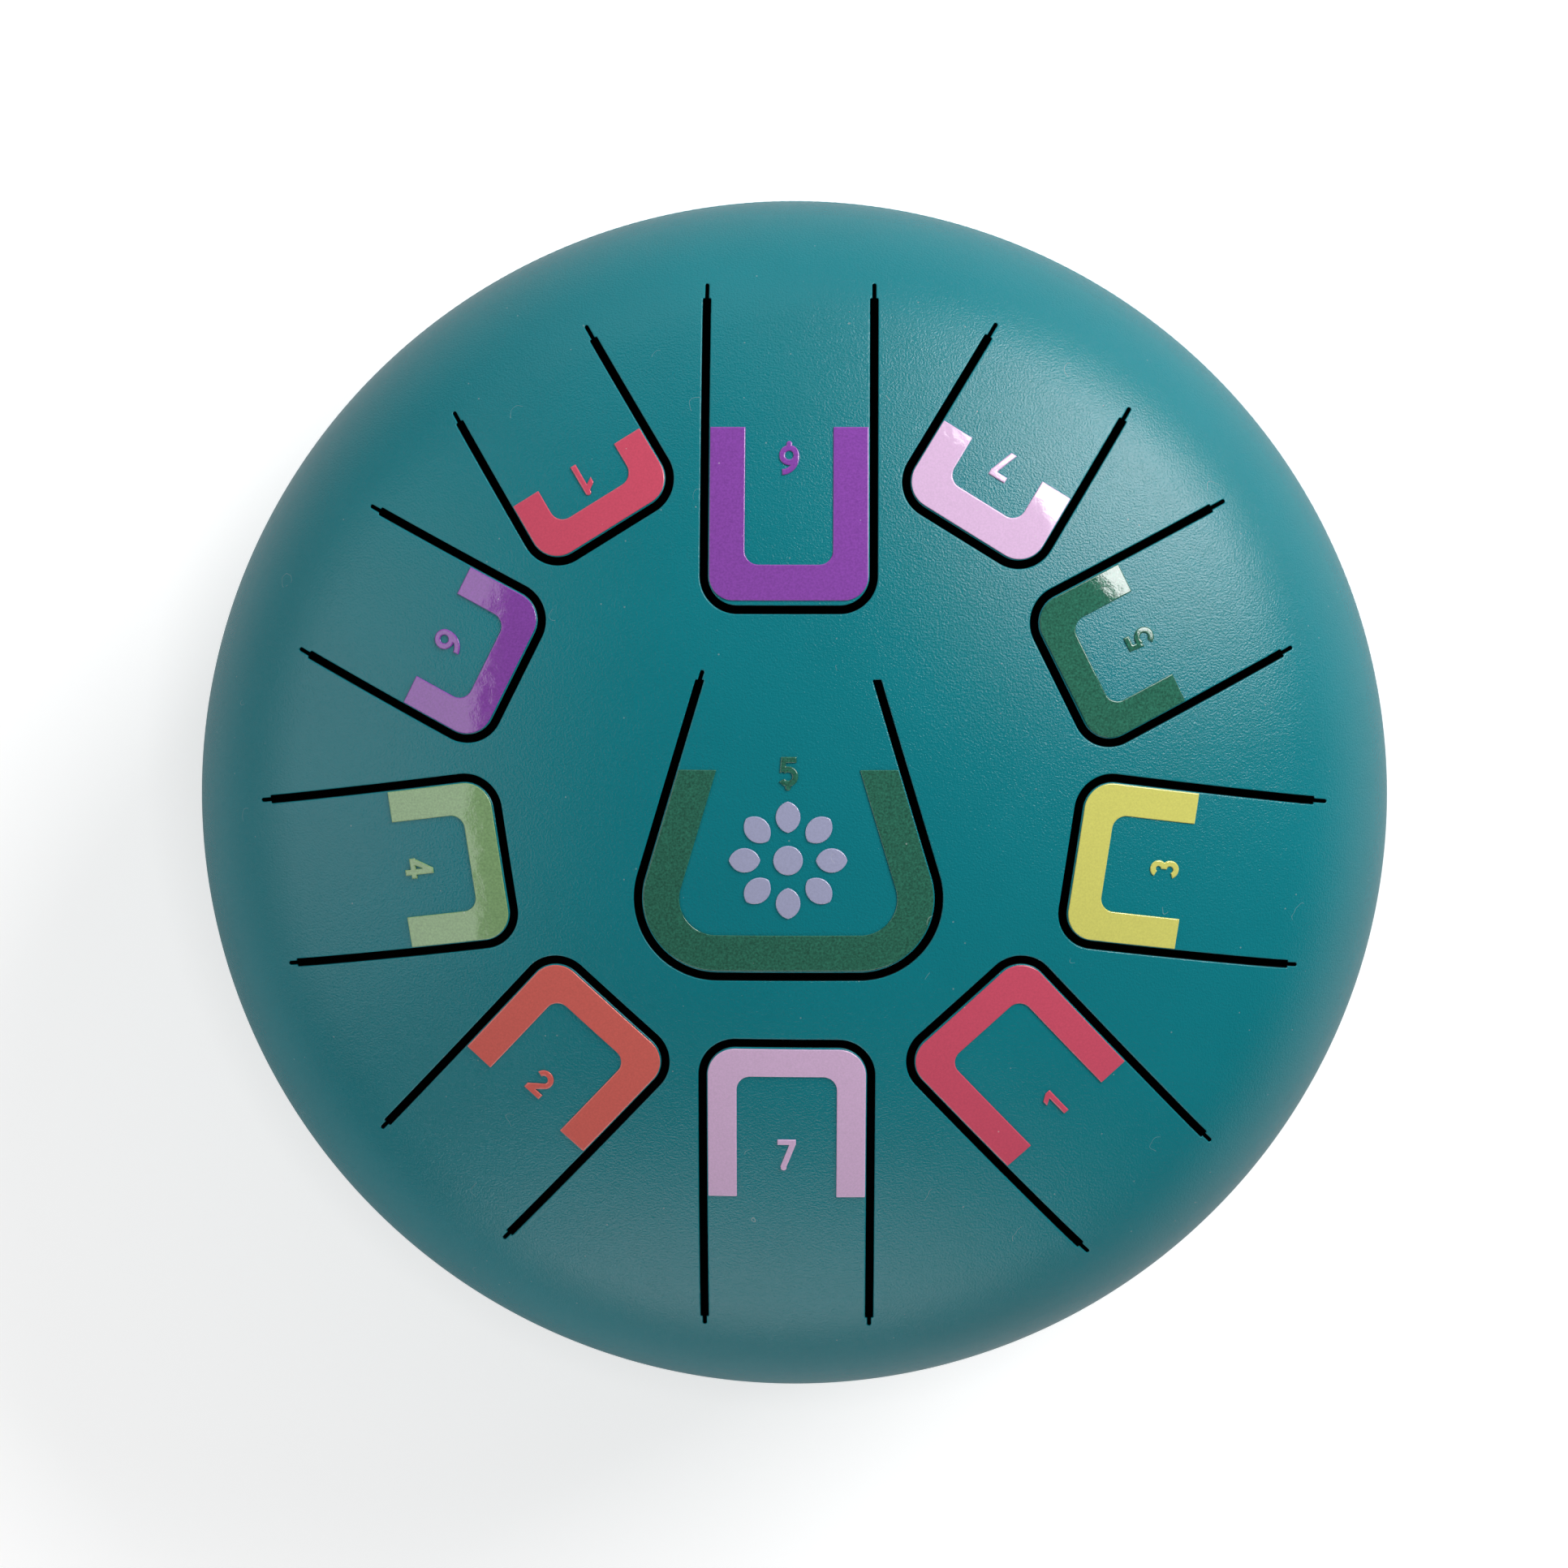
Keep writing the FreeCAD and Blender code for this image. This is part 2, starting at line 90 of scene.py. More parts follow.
SOUND_HOLE_R = 21.0
SKIRT_R = 114.0             # outside every slot: the shell is turned from here out
SKIRT_STEPS = 480
SKIRT_ROWS = 20

# ---- slots and tongues, each in its own flat frame: X from the tip's slot to the root, Y across
SLOT = 1.7
TUNING_CUT = 0.8
CORNER_R = 6.8
CENTRE_CORNER_R = 16.0
CENTRE_TAPER = math.radians(16.7)
STUB = 3.0                  # how far a tongue's root stands inside its slots as part of the shell
MARK_SIDE_GAP = 0.2
MARK_TIP_GAP = 0.35
LOW_6_TIP_GAP = 1.0
MARK_INNER_R = 2.8
SLOT_END_R = 0.25           # corners at a slot's end
CUT_ROOT_R = 0.05           # corners where a tuning cut leaves the slot
CUT_END_R = 0.36
LEG_END_R = 0.15            # corners at the ends of a mark's legs
BEND_LENGTH = 8.0           # a tongue bends over this much of its root
BEND_PAST_LEG = 1.0         # and never nearer to its mark than this

Tongue = namedtuple("Tongue", "note length width cuts leg band vinyl")
TONGUES = [
    Tongue("low_6", 62.6, 34.4, (3.0, 3.0), 36.6, 7.2, "purple"),
    Tongue("low_7", 61.2, 34.4, (1.9, 1.9), 33.3, 5.9, "pink"),
    Tongue("1", 57.4, 34.6, (2.6, 2.3), 33.0, 6.5, "red"),
    Tongue("2", 54.0, 34.4, (1.9, 1.9), 28.7, 6.5, "orange"),
    Tongue("3", 49.0, 34.5, (2.0, 2.8), 24.4, 6.3, "yellow"),
    Tongue("4", 48.2, 34.5, (2.1, 1.8), 22.6, 6.3, "light_green"),
    Tongue("5", 43.8, 33.3, (2.4, 3.2), 21.4, 6.2, "dark_green"),
    Tongue("6", 41.1, 33.1, (2.3, 2.4), 18.8, 6.1, "purple"),
    Tongue("7", 37.1, 32.5, (2.8, 3.1), 17.8, 6.8, "pink"),
    Tongue("high_1", 35.8, 32.5, (3.1, 2.4), 15.2, 6.1, "red"),
    Tongue("low_5", 60.4, 72.0, (0.0, 1.9), 42.3, 7.4, "dark_green"),
]
CENTRE_NOTE = "low_5"

# ---- feet, square on the lower crown with a level sole
FOOT_AT_R = 62.0
FOOT_TOP_R = 13.0
FOOT_SOLE_R = 11.5
FOOT_RECESS_R = 6.0
FOOT_FLOOR = 4.0
SCREW_HOLE_R = 2.2
FOOT_NAMES = ("front", "right", "left")


# ======================================================================== settings

def length(name, description, default_mm):
    return bpy.props.FloatProperty(
        name=name, description=description, default=default_mm * MM, min=0.0, unit="LENGTH", precision=5)


def colour(name, description, default):
    return bpy.props.FloatVectorProperty(
        name=name, description=description, default=default, size=3, min=0.0, max=1.0, subtype="COLOR")


def level(name, description, default, **limits):
    return bpy.props.FloatProperty(name=name, description=description, default=default, min=0.0, **limits)


class DrumShape(bpy.types.PropertyGroup):
    """Sizes that a maker may change without altering the drum's design."""

    slot_edge: length("Slot edge", "Rounding along the edges of every slot", 0.28)
    shell_step: length("Shell spacing", "Distance between points over the shell and tongues", 2.6)
    vinyl: length("Vinyl thickness", "How far a mark or number stands above the paint", 0.28)
    mark_edge: length("Mark edge", "Rounding along the cut edge of a mark", 0.22)
    number_edge: length("Number edge", "Rounding along the edge of a number", 0.2)
    ripples: bpy.props.IntProperty(
        name="Weld ripples", description="Ripples left round the dressed weld", default=420, min=0)
    ripple_height: length("Ripple height", "How far each weld ripple stands out", 0.04)
    petals: bpy.props.IntProperty(
        name="Petals", description="Petals round the rosette", default=8, min=3, max=16)
    rosette_r: length("Rosette radius", "Distance from the rosette's centre to a petal's tip", 12.0)
    rosette_y: length("Rosette setback", "Distance from the drum's axis towards the player", 6.4)


class DrumFinish(bpy.types.PropertyGroup):
    """Colours and surface texture of the drum's finishes."""

    paint: colour("Paint", "Satin paint over both shells and the tongues", (0.0005, 0.203, 0.243))
    red: colour("Red", "Vinyl of notes 1 and high 1", (0.68, 0.085, 0.15))
    orange: colour("Orange", "Vinyl of note 2", (0.76, 0.145, 0.12))
    yellow: colour("Yellow", "Vinyl of note 3", (0.70, 0.68, 0.16))
    light_green: colour("Light green", "Vinyl of note 4", (0.25, 0.43, 0.19))
    dark_green: colour("Dark green", "Vinyl of notes 5 and low 5", (0.022, 0.142, 0.09))
    purple: colour("Purple", "Vinyl of notes 6 and low 6", (0.26, 0.065, 0.41))
    pink: colour("Pink", "Vinyl of notes 7 and low 7", (0.77, 0.52, 0.77))
    lilac: colour("Lilac", "Vinyl of the rosette", (0.40, 0.41, 0.6))
    rubber: colour("Rubber", "Moulded feet", (0.012, 0.012, 0.013))
    grain: length("Paint grain", "Size of the paint's orange-peel grain", 0.42)
    grain_depth: level("Grain depth", "Strength of the paint's grain", 0.6, max=1.0)
    dust: level("Dust", "Share of the dust specks and lint that show", 0.65, max=1.0, subtype="FACTOR")


class DrumStage(bpy.types.PropertyGroup):
    """Floor, softboxes and surround."""

    floor: colour("Floor", "Plain floor that the drum stands on", (0.86, 0.86, 0.86))
    key: level("Key softbox", "Brightness of the softbox at the back right", 9.4)
    side: level("Left softbox", "Brightness of the large softbox at the left", 1.35)
    bank: level("Side banks", "Share of the low banks of light that is on", 1.0)
    # the floor glow is painted light that only the camera sees, left out under the drum as a painted shadow
    glow: level("Floor glow", "Light let up through the floor round the drum", 0.5)
    surround: level("Surround", "Brightness of the plain surround", 0.1)
    backdrop: level("Backdrop", "Brightness of the surround as seen behind the drum", 1.0)


# ======================================================================== the dome

def dome_height(radius, offset=0.0):
    """Height of the upper dome, offset inwards from its outer skin, at a distance from the axis."""
    crown_r, knuckle_r = CROWN_R - offset, KNUCKLE_R - offset
    if radius <= crown_r * math.sin(CROWN_ANGLE):
        return CROWN_Z + math.sqrt(crown_r ** 2 - radius ** 2)
    return RIM_Z + math.sqrt(max(0.0, knuckle_r ** 2 - (radius - KNUCKLE_CENTRE_R) ** 2))


def dome_normal(x, y, offset=0.0):
    radius = math.hypot(x, y)
    z = dome_height(radius, offset)
    if radius <= (CROWN_R - offset) * math.sin(CROWN_ANGLE):
        return Vector((x, y, z - CROWN_Z)).normalized()
    out = radius - KNUCKLE_CENTRE_R
    return Vector((x / radius * out, y / radius * out, z - RIM_Z)).normalized()


def unrolled(x, y):
    """Where a plan point lies when the dome is laid flat with its true distances from the pole."""
    radius = math.hypot(x, y)
    if radius < 1e-6:
        return Vector((x, y))
    if radius <= CROWN_R * math.sin(CROWN_ANGLE):
        arc = CROWN_R * math.asin(radius / CROWN_R)
    else:
        lean = math.asin(min(1.0, (radius - KNUCKLE_CENTRE_R) / KNUCKLE_R))
        arc = CROWN_ARC + KNUCKLE_R * (lean - CROWN_ANGLE)
    return Vector((x, y)) * (arc / radius)


# ======================================================================== flat outlines

# kept marks the edge that starts at a corner as one that stays put when the outline is inset
Corner = namedtuple("Corner", "x y r kept", defaults=(0.0, False))
ARC_STEP = 0.5
EDGE_STEP = 1.3


def left_of(direction):
    return Vector((-direction.y, direction.x))


def crossing(first, second):
    """Where two lines meet, each given as a point and a direction."""
    (p, d), (q, e) = first, second
    share = ((q - p).cross(e)) / d.cross(e)
    return p + d * share


def outline(corners, inset=0.0):
    """Points round an outline that has its material on the left, moved into the material by inset.

    Every inset gives the same number of points, so outlines can be joined point to point.
    """
    count = len(corners)
    spots = [Vector((c.x, c.y)) for c in corners]
    ways = [(spots[(i + 1) % count] - spots[i]).normalized() for i in range(count)]
    lines = [
        (spots[i] + left_of(ways[i]) * (0.0 if corners[i].kept else inset), ways[i])
        for i in range(count)
    ]
    arcs = []
    for i, corner in enumerate(corners):
        before, after = ways[i - 1], ways[i]
        spot = crossing(lines[i - 1], lines[i])
        if corner.r == 0:
            arcs.append([spot])
            continue
        turn = math.atan2(before.cross(after), before.dot(after))
        side = math.copysign(1.0, turn)
        radius = max(0.01, corner.r - side * inset)
        start = spot - before * (radius * math.tan(abs(turn) / 2))
        centre = start + left_of(before) * (side * radius)
        steps = max(3, round(corner.r * abs(turn) / ARC_STEP))
        spoke = start - centre
        arcs.append([centre + Matrix.Rotation(turn * k / steps, 2) @ spoke for k in range(steps + 1)])
    points = []
    for i in range(count):
        start, end = arcs[i][-1], arcs[(i + 1) % count][0]
        pieces = max(1, round((spots[(i + 1) % count] - spots[i]).length / EDGE_STEP))
        points += arcs[i]
        points += [start.lerp(end, k / pieces) for k in range(1, pieces)]
    return points


def inset_loop(points, inset):
    """A plain closed loop moved into the material on its left, with square corners kept square."""
    moved = []
    for i, here in enumerate(points):
        before = (here - points[i - 1]).normalized()
        after = (points[(i + 1) % len(points)] - here).normalized()
        across = left_of(before) + left_of(after)
        moved.append(here + across * (2 * inset / max(across.length_squared, 1.0)))
    return moved


class TonguePlan:
    """The flat outlines of one tongue, its slot and its mark, and their place on the drum."""

    def __init__(self, tongue):
        self.tongue = tongue
        self.joint = JOINTS[f"tongue_{tongue.note}_flex"]
        axis = Vector(self.joint["axis"])
        self.ahead = Vector((-axis.y, axis.x)).normalized()
        self.root = Vector(self.joint["pos_m"][:2]) / MM
        centre = tongue.note == CENTRE_NOTE
        self.taper = CENTRE_TAPER if centre else 0.0
        self.corner_r = CENTRE_CORNER_R if centre else CORNER_R

    def half(self, along, grow=0.0):
        """Half the width at a distance from the tip, grown sideways from the slot's centreline."""
        return (self.tongue.width / 2 + grow / math.cos(self.taper)
                - along * math.tan(self.taper))

    def on_drum(self, flat):
        """A point of the tongue's own frame, in the drum's plan."""
        return (self.root + self.ahead * (flat.x - self.tongue.length)
                + left_of(self.ahead) * flat.y)

    def loop(self, corners):
        return lambda inset=0.0: [self.on_drum(point) for point in outline(corners, inset)]

    def joint_line(self):
        return self.tongue.length - STUB

    def tongue_loop(self):
        tip, join = SLOT / 2, self.joint_line()
        r = self.corner_r - SLOT / 2
        return self.loop([
            Corner(tip, -self.half(tip, -SLOT / 2), r),
            Corner(join, -self.half(join, -SLOT / 2), 0.0, True),
            Corner(join, self.half(join, -SLOT / 2)),
            Corner(tip, self.half(tip, -SLOT / 2), r),
        ])

    def slot_end(self, side, cut):
        """Corners round a slot's end and its tuning cut, from the tongue's side of the slot out."""
        end, bite = self.tongue.length, TUNING_CUT / 2
        corners = [Corner(end, side * self.half(end, -SLOT / 2), SLOT_END_R)]
        if cut:
            far = end + cut
            corners += [
                Corner(end, side * self.half(end, -bite), CUT_ROOT_R),
                Corner(far, side * self.half(far, -bite), CUT_END_R),
                Corner(far, side * self.half(far, bite), CUT_END_R),
                Corner(end, side * self.half(end, bite), CUT_ROOT_R),
            ]
        return corners + [Corner(end, side * self.half(end, SLOT / 2), SLOT_END_R)]

    def window_loop(self):
        """What the slot and the tongue take out of the shell, less the stub at the root."""
        tip, join = -SLOT / 2, self.joint_line()
        r = self.corner_r + SLOT / 2
        right_cut, left_cut = self.tongue.cuts
        return self.loop(
            [Corner(join, self.half(join, -SLOT / 2), 0.0, True),
             Corner(join, -self.half(join, -SLOT / 2))]
            + self.slot_end(-1, right_cut)
            + [Corner(tip, -self.half(tip, SLOT / 2), r), Corner(tip, self.half(tip, SLOT / 2), r)]
            + self.slot_end(1, left_cut)[::-1])

    def mark_loop(self):
        """The U of vinyl round the tip."""
        gap = LOW_6_TIP_GAP if self.tongue.note == "low_6" else MARK_TIP_GAP
        side, tip = SLOT / 2 + MARK_SIDE_GAP, SLOT / 2 + gap
        leg, band = self.tongue.leg, self.tongue.band
        outer_r = self.corner_r - tip
        inner_r = max(MARK_INNER_R, outer_r - band)
        inner_tip = tip + band
        out, back = (
            [Corner(tip, s * self.half(tip, -side), outer_r),
             Corner(leg, s * self.half(leg, -side), LEG_END_R)] for s in (-1, 1))
        within = [
            Corner(leg, self.half(leg, -side - band), LEG_END_R),
            Corner(inner_tip, self.half(inner_tip, -side - band), inner_r),
            Corner(inner_tip, -self.half(inner_tip, -side - band), inner_r),
            Corner(leg, -self.half(leg, -side - band), LEG_END_R),
        ]
        return self.loop(out + within[::-1] + back[::-1])


PLANS = [TonguePlan(tongue) for tongue in TONGUES]


# ======================================================================== sheets on the dome

OUTSIDE, INSIDE = 0, 1
INSIDE_WITH_HOLES = 2       # how the triangulation treats its outlines
MERGE = 1e-6
CLEAR_OF_EDGE = 0.55        # room between a sheet's inner points and its edges, in steps
CLEAR_OF_CUT = 0.4          # the same for a scrap of vinyl
SCRAP_ROW = 0.866           # spacing of the rows over a scrap of vinyl, in steps
UNDER_STEP = 1.6            # spacing over a sheet's under side, in steps of its top
UPRIGHT = 0.4               # share of a scrap's thickness that stands upright at its edge
ROLL = tuple(math.radians(turn) for turn in (30, 60, 90))      # stages of a rolled edge
STEEL_SMOOTH, RUBBER_SMOOTH, VINYL_SMOOTH = 40.0, 30.0, 70.0   # edges flatter than these look smooth


class Sheet:
    """Gathers a mesh's points and faces, and a normal for every corner where they are given."""

    def __init__(self):
        self.points, self.faces, self.normals, self.finishes = [], [], [], []

    def add(self, point):
        self.points.append(point)
        return len(self.points) - 1

    def face(self, corners, normals=(), finish=OUTSIDE):
        self.faces.append(tuple(corners))
        self.normals.extend(normals)
        self.finishes.append(finish)

    def strip(self, above, below, normals_above, normals_below, finish=OUTSIDE):
        """Quads between two closed loops, facing away from the material on the loops' left."""
        for i in range(len(above)):
            j = (i + 1) % len(above)
            self.face(
                (above[i], below[i], below[j], above[j]),
                (normals_above[i], normals_below[i], normals_below[j], normals_above[j]), finish)

    def make(self, name, materials):
        mesh = bpy.data.meshes.new(name)
        mesh.from_pydata([Vector(p) * MM for p in self.points], [], self.faces)
        for material in materials:
            mesh.materials.append(material)
        mesh.polygons.foreach_set("material_index", self.finishes)
        mesh.polygons.foreach_set("use_smooth", [True] * len(self.faces))
        if self.normals:
            mesh.normals_split_custom_set(self.normals)
        piece = bpy.data.objects.new(name, mesh)
        bpy.context.collection.objects.link(piece)
        return piece


def around(radius, turn):
    """The plan point at a distance and an angle from the drum's axis."""
    return Vector((radius * math.cos(turn), radius * math.sin(turn)))


def extent(points):
    """The lowest and the highest corner of the box round plan points."""
    return (Vector((min(p.x for p in points), min(p.y for p in points))),
            Vector((max(p.x for p in points), max(p.y for p in points))))


def edge_finder(loops):
    """Finds how far a plan point is from the nearest point of the loops."""
    points = [p for loop in loops for p in loop]
    edges = KDTree(len(points))
    for index, point in enumerate(points):
        edges.insert(point.to_3d(), index)
    edges.balance()
    return lambda point: edges.find(point.to_3d())[2]


Net = namedtuple("Net", "rings spots triangles origins number used")


def triangulated(loops, points):
    """A net of triangles between loops. points starts with the loops' own points, in order.

    number gives each point's place in the net, and origins the points at each place.
    """
    starts = [0, *accumulate(len(loop) for loop in loops)]
    rings = [list(range(start, end)) for start, end in zip(starts, starts[1:])]
    spots, _, triangles, origins, *_ = delaunay_2d_cdt(points, [], rings, INSIDE_WITH_HOLES, MERGE)
    number = {old: new for new, olds in enumerate(origins) for old in olds}
    used = sorted({corner for triangle in triangles for corner in triangle})
    return Net(rings, spots, triangles, origins, number, used)


def spread_points(loops, step, reach):
    """Points in staggered rings over the dome, kept clear of the loops and inside the first one."""
    edge_distance = edge_finder(loops)
    rim = max(unrolled(*p).length for p in loops[0])
    low, high = extent(loops[0])
    found, ring, row = [], 0.0, step * math.sqrt(3) / 2
    while ring < rim:
        if ring <= CROWN_ARC:
            radius = CROWN_R * math.sin(ring / CROWN_R)
        else:
            radius = KNUCKLE_CENTRE_R + KNUCKLE_R * math.sin(CROWN_ANGLE + (ring - CROWN_ARC) / KNUCKLE_R)
        count = max(1, round(2 * math.pi * radius / step))
        for k in range(count):
            turn = 2 * math.pi * (k + 0.5 * (round(ring / row) % 2)) / count
            spot = around(radius, turn)
            if not (low.x < spot.x < high.x and low.y < spot.y < high.y):
                continue
            if edge_distance(spot) > reach:
                found.append(spot)
        ring += row
    return found


def skin(sheet, loops, offset, step, down, finish):
    """One smooth skin of a sheet between its loops, and the loops' point numbers."""
    inner = spread_points(loops, step, CLEAR_OF_EDGE * step) if step else []
    plan = [p for loop in loops for p in loop] + inner
    net = triangulated(loops, [unrolled(p.x, p.y) for p in plan])
    if len(net.number) < len(plan):
        raise RuntimeError("two edges of an outline cross")
    ids, normals = {}, {}
    for new in net.used:
        p = plan[net.origins[new][0]]
        ids[new] = sheet.add((p.x, p.y, dome_height(p.length, offset)))
        normal = dome_normal(p.x, p.y, offset)
        normals[new] = -normal if down else normal
    for a, b, c in net.triangles:
        corners = (c, b, a) if down else (a, b, c)
        sheet.face([ids[n] for n in corners], [normals[n] for n in corners], finish)
    return [[ids[net.number[o]] for o in ring] for ring in net.rings]


def outward(points):
    """The level direction that leaves the material at each point of a loop."""
    ways = []
    for i in range(len(points)):
        along = points[(i + 1) % len(points)] - points[i - 1]
        ways.append(Vector((along.y, -along.x, 0.0)).normalized())
    return ways


def rounded_wall(sheet, loop, top_ids, bottom_ids, top, edge, wall_finish, steps=3):
    """Rolls a skin's edge over and drops a wall to the sheet's other skin."""
    ways = outward(loop(0.0))
    above = top_ids
    first = normals = [dome_normal(p.x, p.y, top) for p in loop(edge)]
    for k in range(1, steps + 1):
        turn = math.pi / 2 * k / steps
        points = loop(edge * (1 - math.sin(turn)))
        drop = top + edge * (1 - math.cos(turn))
        below = [sheet.add((p.x, p.y, dome_height(p.length, drop))) for p in points]
        turned = [(n * math.cos(turn) + w * math.sin(turn)).normalized() for n, w in zip(first, ways)]
        sheet.strip(above, below, normals, turned)
        above, normals = below, turned
    sheet.strip(above, bottom_ids, ways, ways, wall_finish)


def evenly(points, step):
    """A closed loop with its long edges cut into pieces no longer than step."""
    even = []
    for i, here in enumerate(points):
        there = points[(i + 1) % len(points)]
        pieces = max(1, math.ceil((there - here).length / step))
        even += [here.lerp(there, k / pieces) for k in range(pieces)]
    return even


def pillow(loops, thickness, edge, step, name, materials):
    """A scrap of vinyl on the dome: an upright cut edge that rolls over into a flat face."""
    sheet = Sheet()
    loops = [evenly(loop, step) for loop in loops]
    rim = [p for loop in loops for p in loop]
    cut_distance = edge_finder(loops)
    low, high = extent(rim)
    inner, row = [], 0
    while low.y + row * step * SCRAP_ROW < high.y:
        y = low.y + row * step * SCRAP_ROW
        columns = int((high.x - low.x) / step) + 1
        spots = [Vector((low.x + (k + 0.5 * (row % 2)) * step, y)) for k in range(columns)]
        inner += [spot for spot in spots if cut_distance(spot) > CLEAR_OF_CUT * step]
        row += 1
    net = triangulated(loops, rim + inner)
    upright = UPRIGHT * thickness

    def rise(point):
        depth = min(1.0, cut_distance(point) / edge)
        return upright + (thickness - upright) * math.sqrt(1 - (1 - depth) ** 2)

    top, flat = {}, {}
    for corner in net.used:
        p = net.spots[corner]
        top[corner] = sheet.add((p.x, p.y, dome_height(p.length, -rise(p))))
        flat[corner] = sheet.add((p.x, p.y, dome_height(p.length)))
    for a, b, c in net.triangles:
        sheet.face((top[a], top[b], top[c]))
        sheet.face((flat[c], flat[b], flat[a]))
    for ring in net.rings:
        for i, here in enumerate(ring):
            a, b = net.number[here], net.number[ring[(i + 1) % len(ring)]]
            sheet.face((top[a], flat[a], flat[b], top[b]))
    piece = sheet.make(name, materials)
    smooth_by_angle(piece, VINYL_SMOOTH)
    return piece


def dome_sheet(loops, top, bottom, edge, step, wall_finish=INSIDE, open_first=False):
    """A closed sheet on the dome between plan outlines. loops are functions of an inset."""
    # walls take the near-black inside finish unless told otherwise: painted shade down the slots
    sheet = Sheet()
    insets = [0.0 if open_first and i == 0 else edge for i in range(len(loops))]
    top_ids = skin(sheet, [loop(g) for loop, g in zip(loops, insets)], top, step, False, OUTSIDE)
    bottom_ids = skin(
        sheet, [loop(0.0) for loop in loops], bottom, step * UNDER_STEP, True, wall_finish)
    for i, loop in enumerate(loops):
        if not (open_first and i == 0):
            rounded_wall(sheet, loop, top_ids[i], bottom_ids[i], top, edge, wall_finish)
    return sheet, top_ids[0], bottom_ids[0]


# ======================================================================== node trees

def new_group(name, kind, inputs, outputs):
    """An empty node group with named sockets; inputs may carry a default."""
    group = bpy.data.node_groups.new(name, kind)
    for socket, socket_type, *default in inputs:
        made = group.interface.new_socket(name=socket, in_out="INPUT", socket_type=socket_type)
        if default:
            made.default_value = default[0]
    for socket, socket_type in outputs:
        group.interface.new_socket(name=socket, in_out="OUTPUT", socket_type=socket_type)
    return group, group.nodes.new("NodeGroupInput"), group.nodes.new("NodeGroupOutput")


class Wiring:
    """Short calls to add and join nodes."""

    def __init__(self, tree):
        self.tree = tree

    def node(self, kind, operation=None, **inputs):
        made = self.tree.nodes.new(kind)
        if operation:
            made.operation = operation
        for name, value in inputs.items():
            self.feed(made.inputs[int(name[1:]) if name[1:].isdigit() else name.replace("_", " ")], value)
        return made

    def feed(self, socket, value):
        if isinstance(value, bpy.types.NodeSocket):
            self.tree.links.new(value, socket)
        else:
            socket.default_value = value

    def math(self, operation, first, second=0.0, third=0.0, clamp=False):
        made = self.node("ShaderNodeMath", operation, i0=first, i1=second, i2=third)
        made.use_clamp = clamp
        return made.outputs[0]

    def vector(self, operation, first, second=(0.0, 0.0, 0.0)):
        made = self.node("ShaderNodeVectorMath", operation, i0=first, i1=second)
        return made.outputs["Value" if operation in ("DOT_PRODUCT", "LENGTH") else "Vector"]


def turned_tree():
    """Turns a section, a chain of points in the XZ plane, round the drum's axis."""
    group, given, result = new_group(
        "Turned Section", "GeometryNodeTree",
        [("Section", "NodeSocketGeometry"), ("Steps", "NodeSocketInt", 96),
         ("Ripples", "NodeSocketInt", 0), ("Ripple Height", "NodeSocketFloat", 0.0),
         ("Middle Height", "NodeSocketFloat", 0.0),
         ("Outside Finish", "NodeSocketMaterial"), ("Inside Finish", "NodeSocketMaterial")],
        [("Geometry", "NodeSocketGeometry")])
    w = Wiring(group)
    section = given.outputs["Section"]
    size = w.node("GeometryNodeAttributeDomainSize", Geometry=section)
    points = size.outputs["Point Count"]
    rows = w.math("ADD", given.outputs["Steps"], 1.0)
    grid = w.node("GeometryNodeMeshGrid", Vertices_X=points, Vertices_Y=rows)
    place = w.node("ShaderNodeSeparateXYZ", Vector=w.node("GeometryNodeInputPosition").outputs[0])
    along = w.math("MULTIPLY", w.math("ADD", place.outputs["X"], 0.5), w.math("SUBTRACT", points, 1.0))
    index = w.math("ROUND", along)
    turn = w.math("MULTIPLY", w.math("ADD", place.outputs["Y"], 0.5), 2 * math.pi)
    sample = w.tree.nodes.new("GeometryNodeSampleIndex")
    sample.data_type = "FLOAT_VECTOR"
    w.feed(sample.inputs["Geometry"], section)
    w.feed(sample.inputs["Value"], w.node("GeometryNodeInputPosition").outputs[0])
    w.feed(sample.inputs["Index"], index)
    spot = w.node("ShaderNodeSeparateXYZ", Vector=sample.outputs["Value"])
    wave = w.math("SINE", w.math("MULTIPLY", turn, given.outputs["Ripples"]))
    radius = w.math("ADD", spot.outputs["X"], w.math("MULTIPLY", wave, given.outputs["Ripple Height"]))
    spun = w.node(
        "ShaderNodeCombineXYZ", X=w.math("MULTIPLY", radius, w.math("COSINE", turn)),
        Y=w.math("MULTIPLY", radius, w.math("SINE", turn)), Z=spot.outputs["Z"])
    moved = w.node("GeometryNodeSetPosition", Geometry=grid.outputs["Mesh"], Position=spun.outputs[0])
    closed = w.node("GeometryNodeMergeByDistance", Geometry=moved.outputs[0], Distance=1e-6)
    turned_out = w.node("GeometryNodeFlipFaces", Mesh=closed.outputs[0])
    smooth = w.node("GeometryNodeSetShadeSmooth", Geometry=turned_out.outputs[0])
    real = w.node("GeometryNodeRealizeInstances", Geometry=smooth.outputs[0])
    painted = w.node(
        "GeometryNodeSetMaterial", Geometry=real.outputs[0], Material=given.outputs["Outside Finish"])
    middle = w.node("ShaderNodeCombineXYZ", Z=given.outputs["Middle Height"])
    from_middle = w.vector("SUBTRACT", w.node("GeometryNodeInputPosition").outputs[0], middle.outputs[0])
    facing = w.vector("DOT_PRODUCT", w.node("GeometryNodeInputNormal").outputs[0], from_middle)
    within = w.math("LESS_THAN", facing, 0.0)
    # inward faces take the near-black inside finish: painted shade
    inside_painted_shade = w.node(
        "GeometryNodeSetMaterial", Geometry=painted.outputs[0], Selection=within,
        Material=given.outputs["Inside Finish"])
    w.feed(result.inputs["Geometry"], inside_painted_shade.outputs[0])
    return group


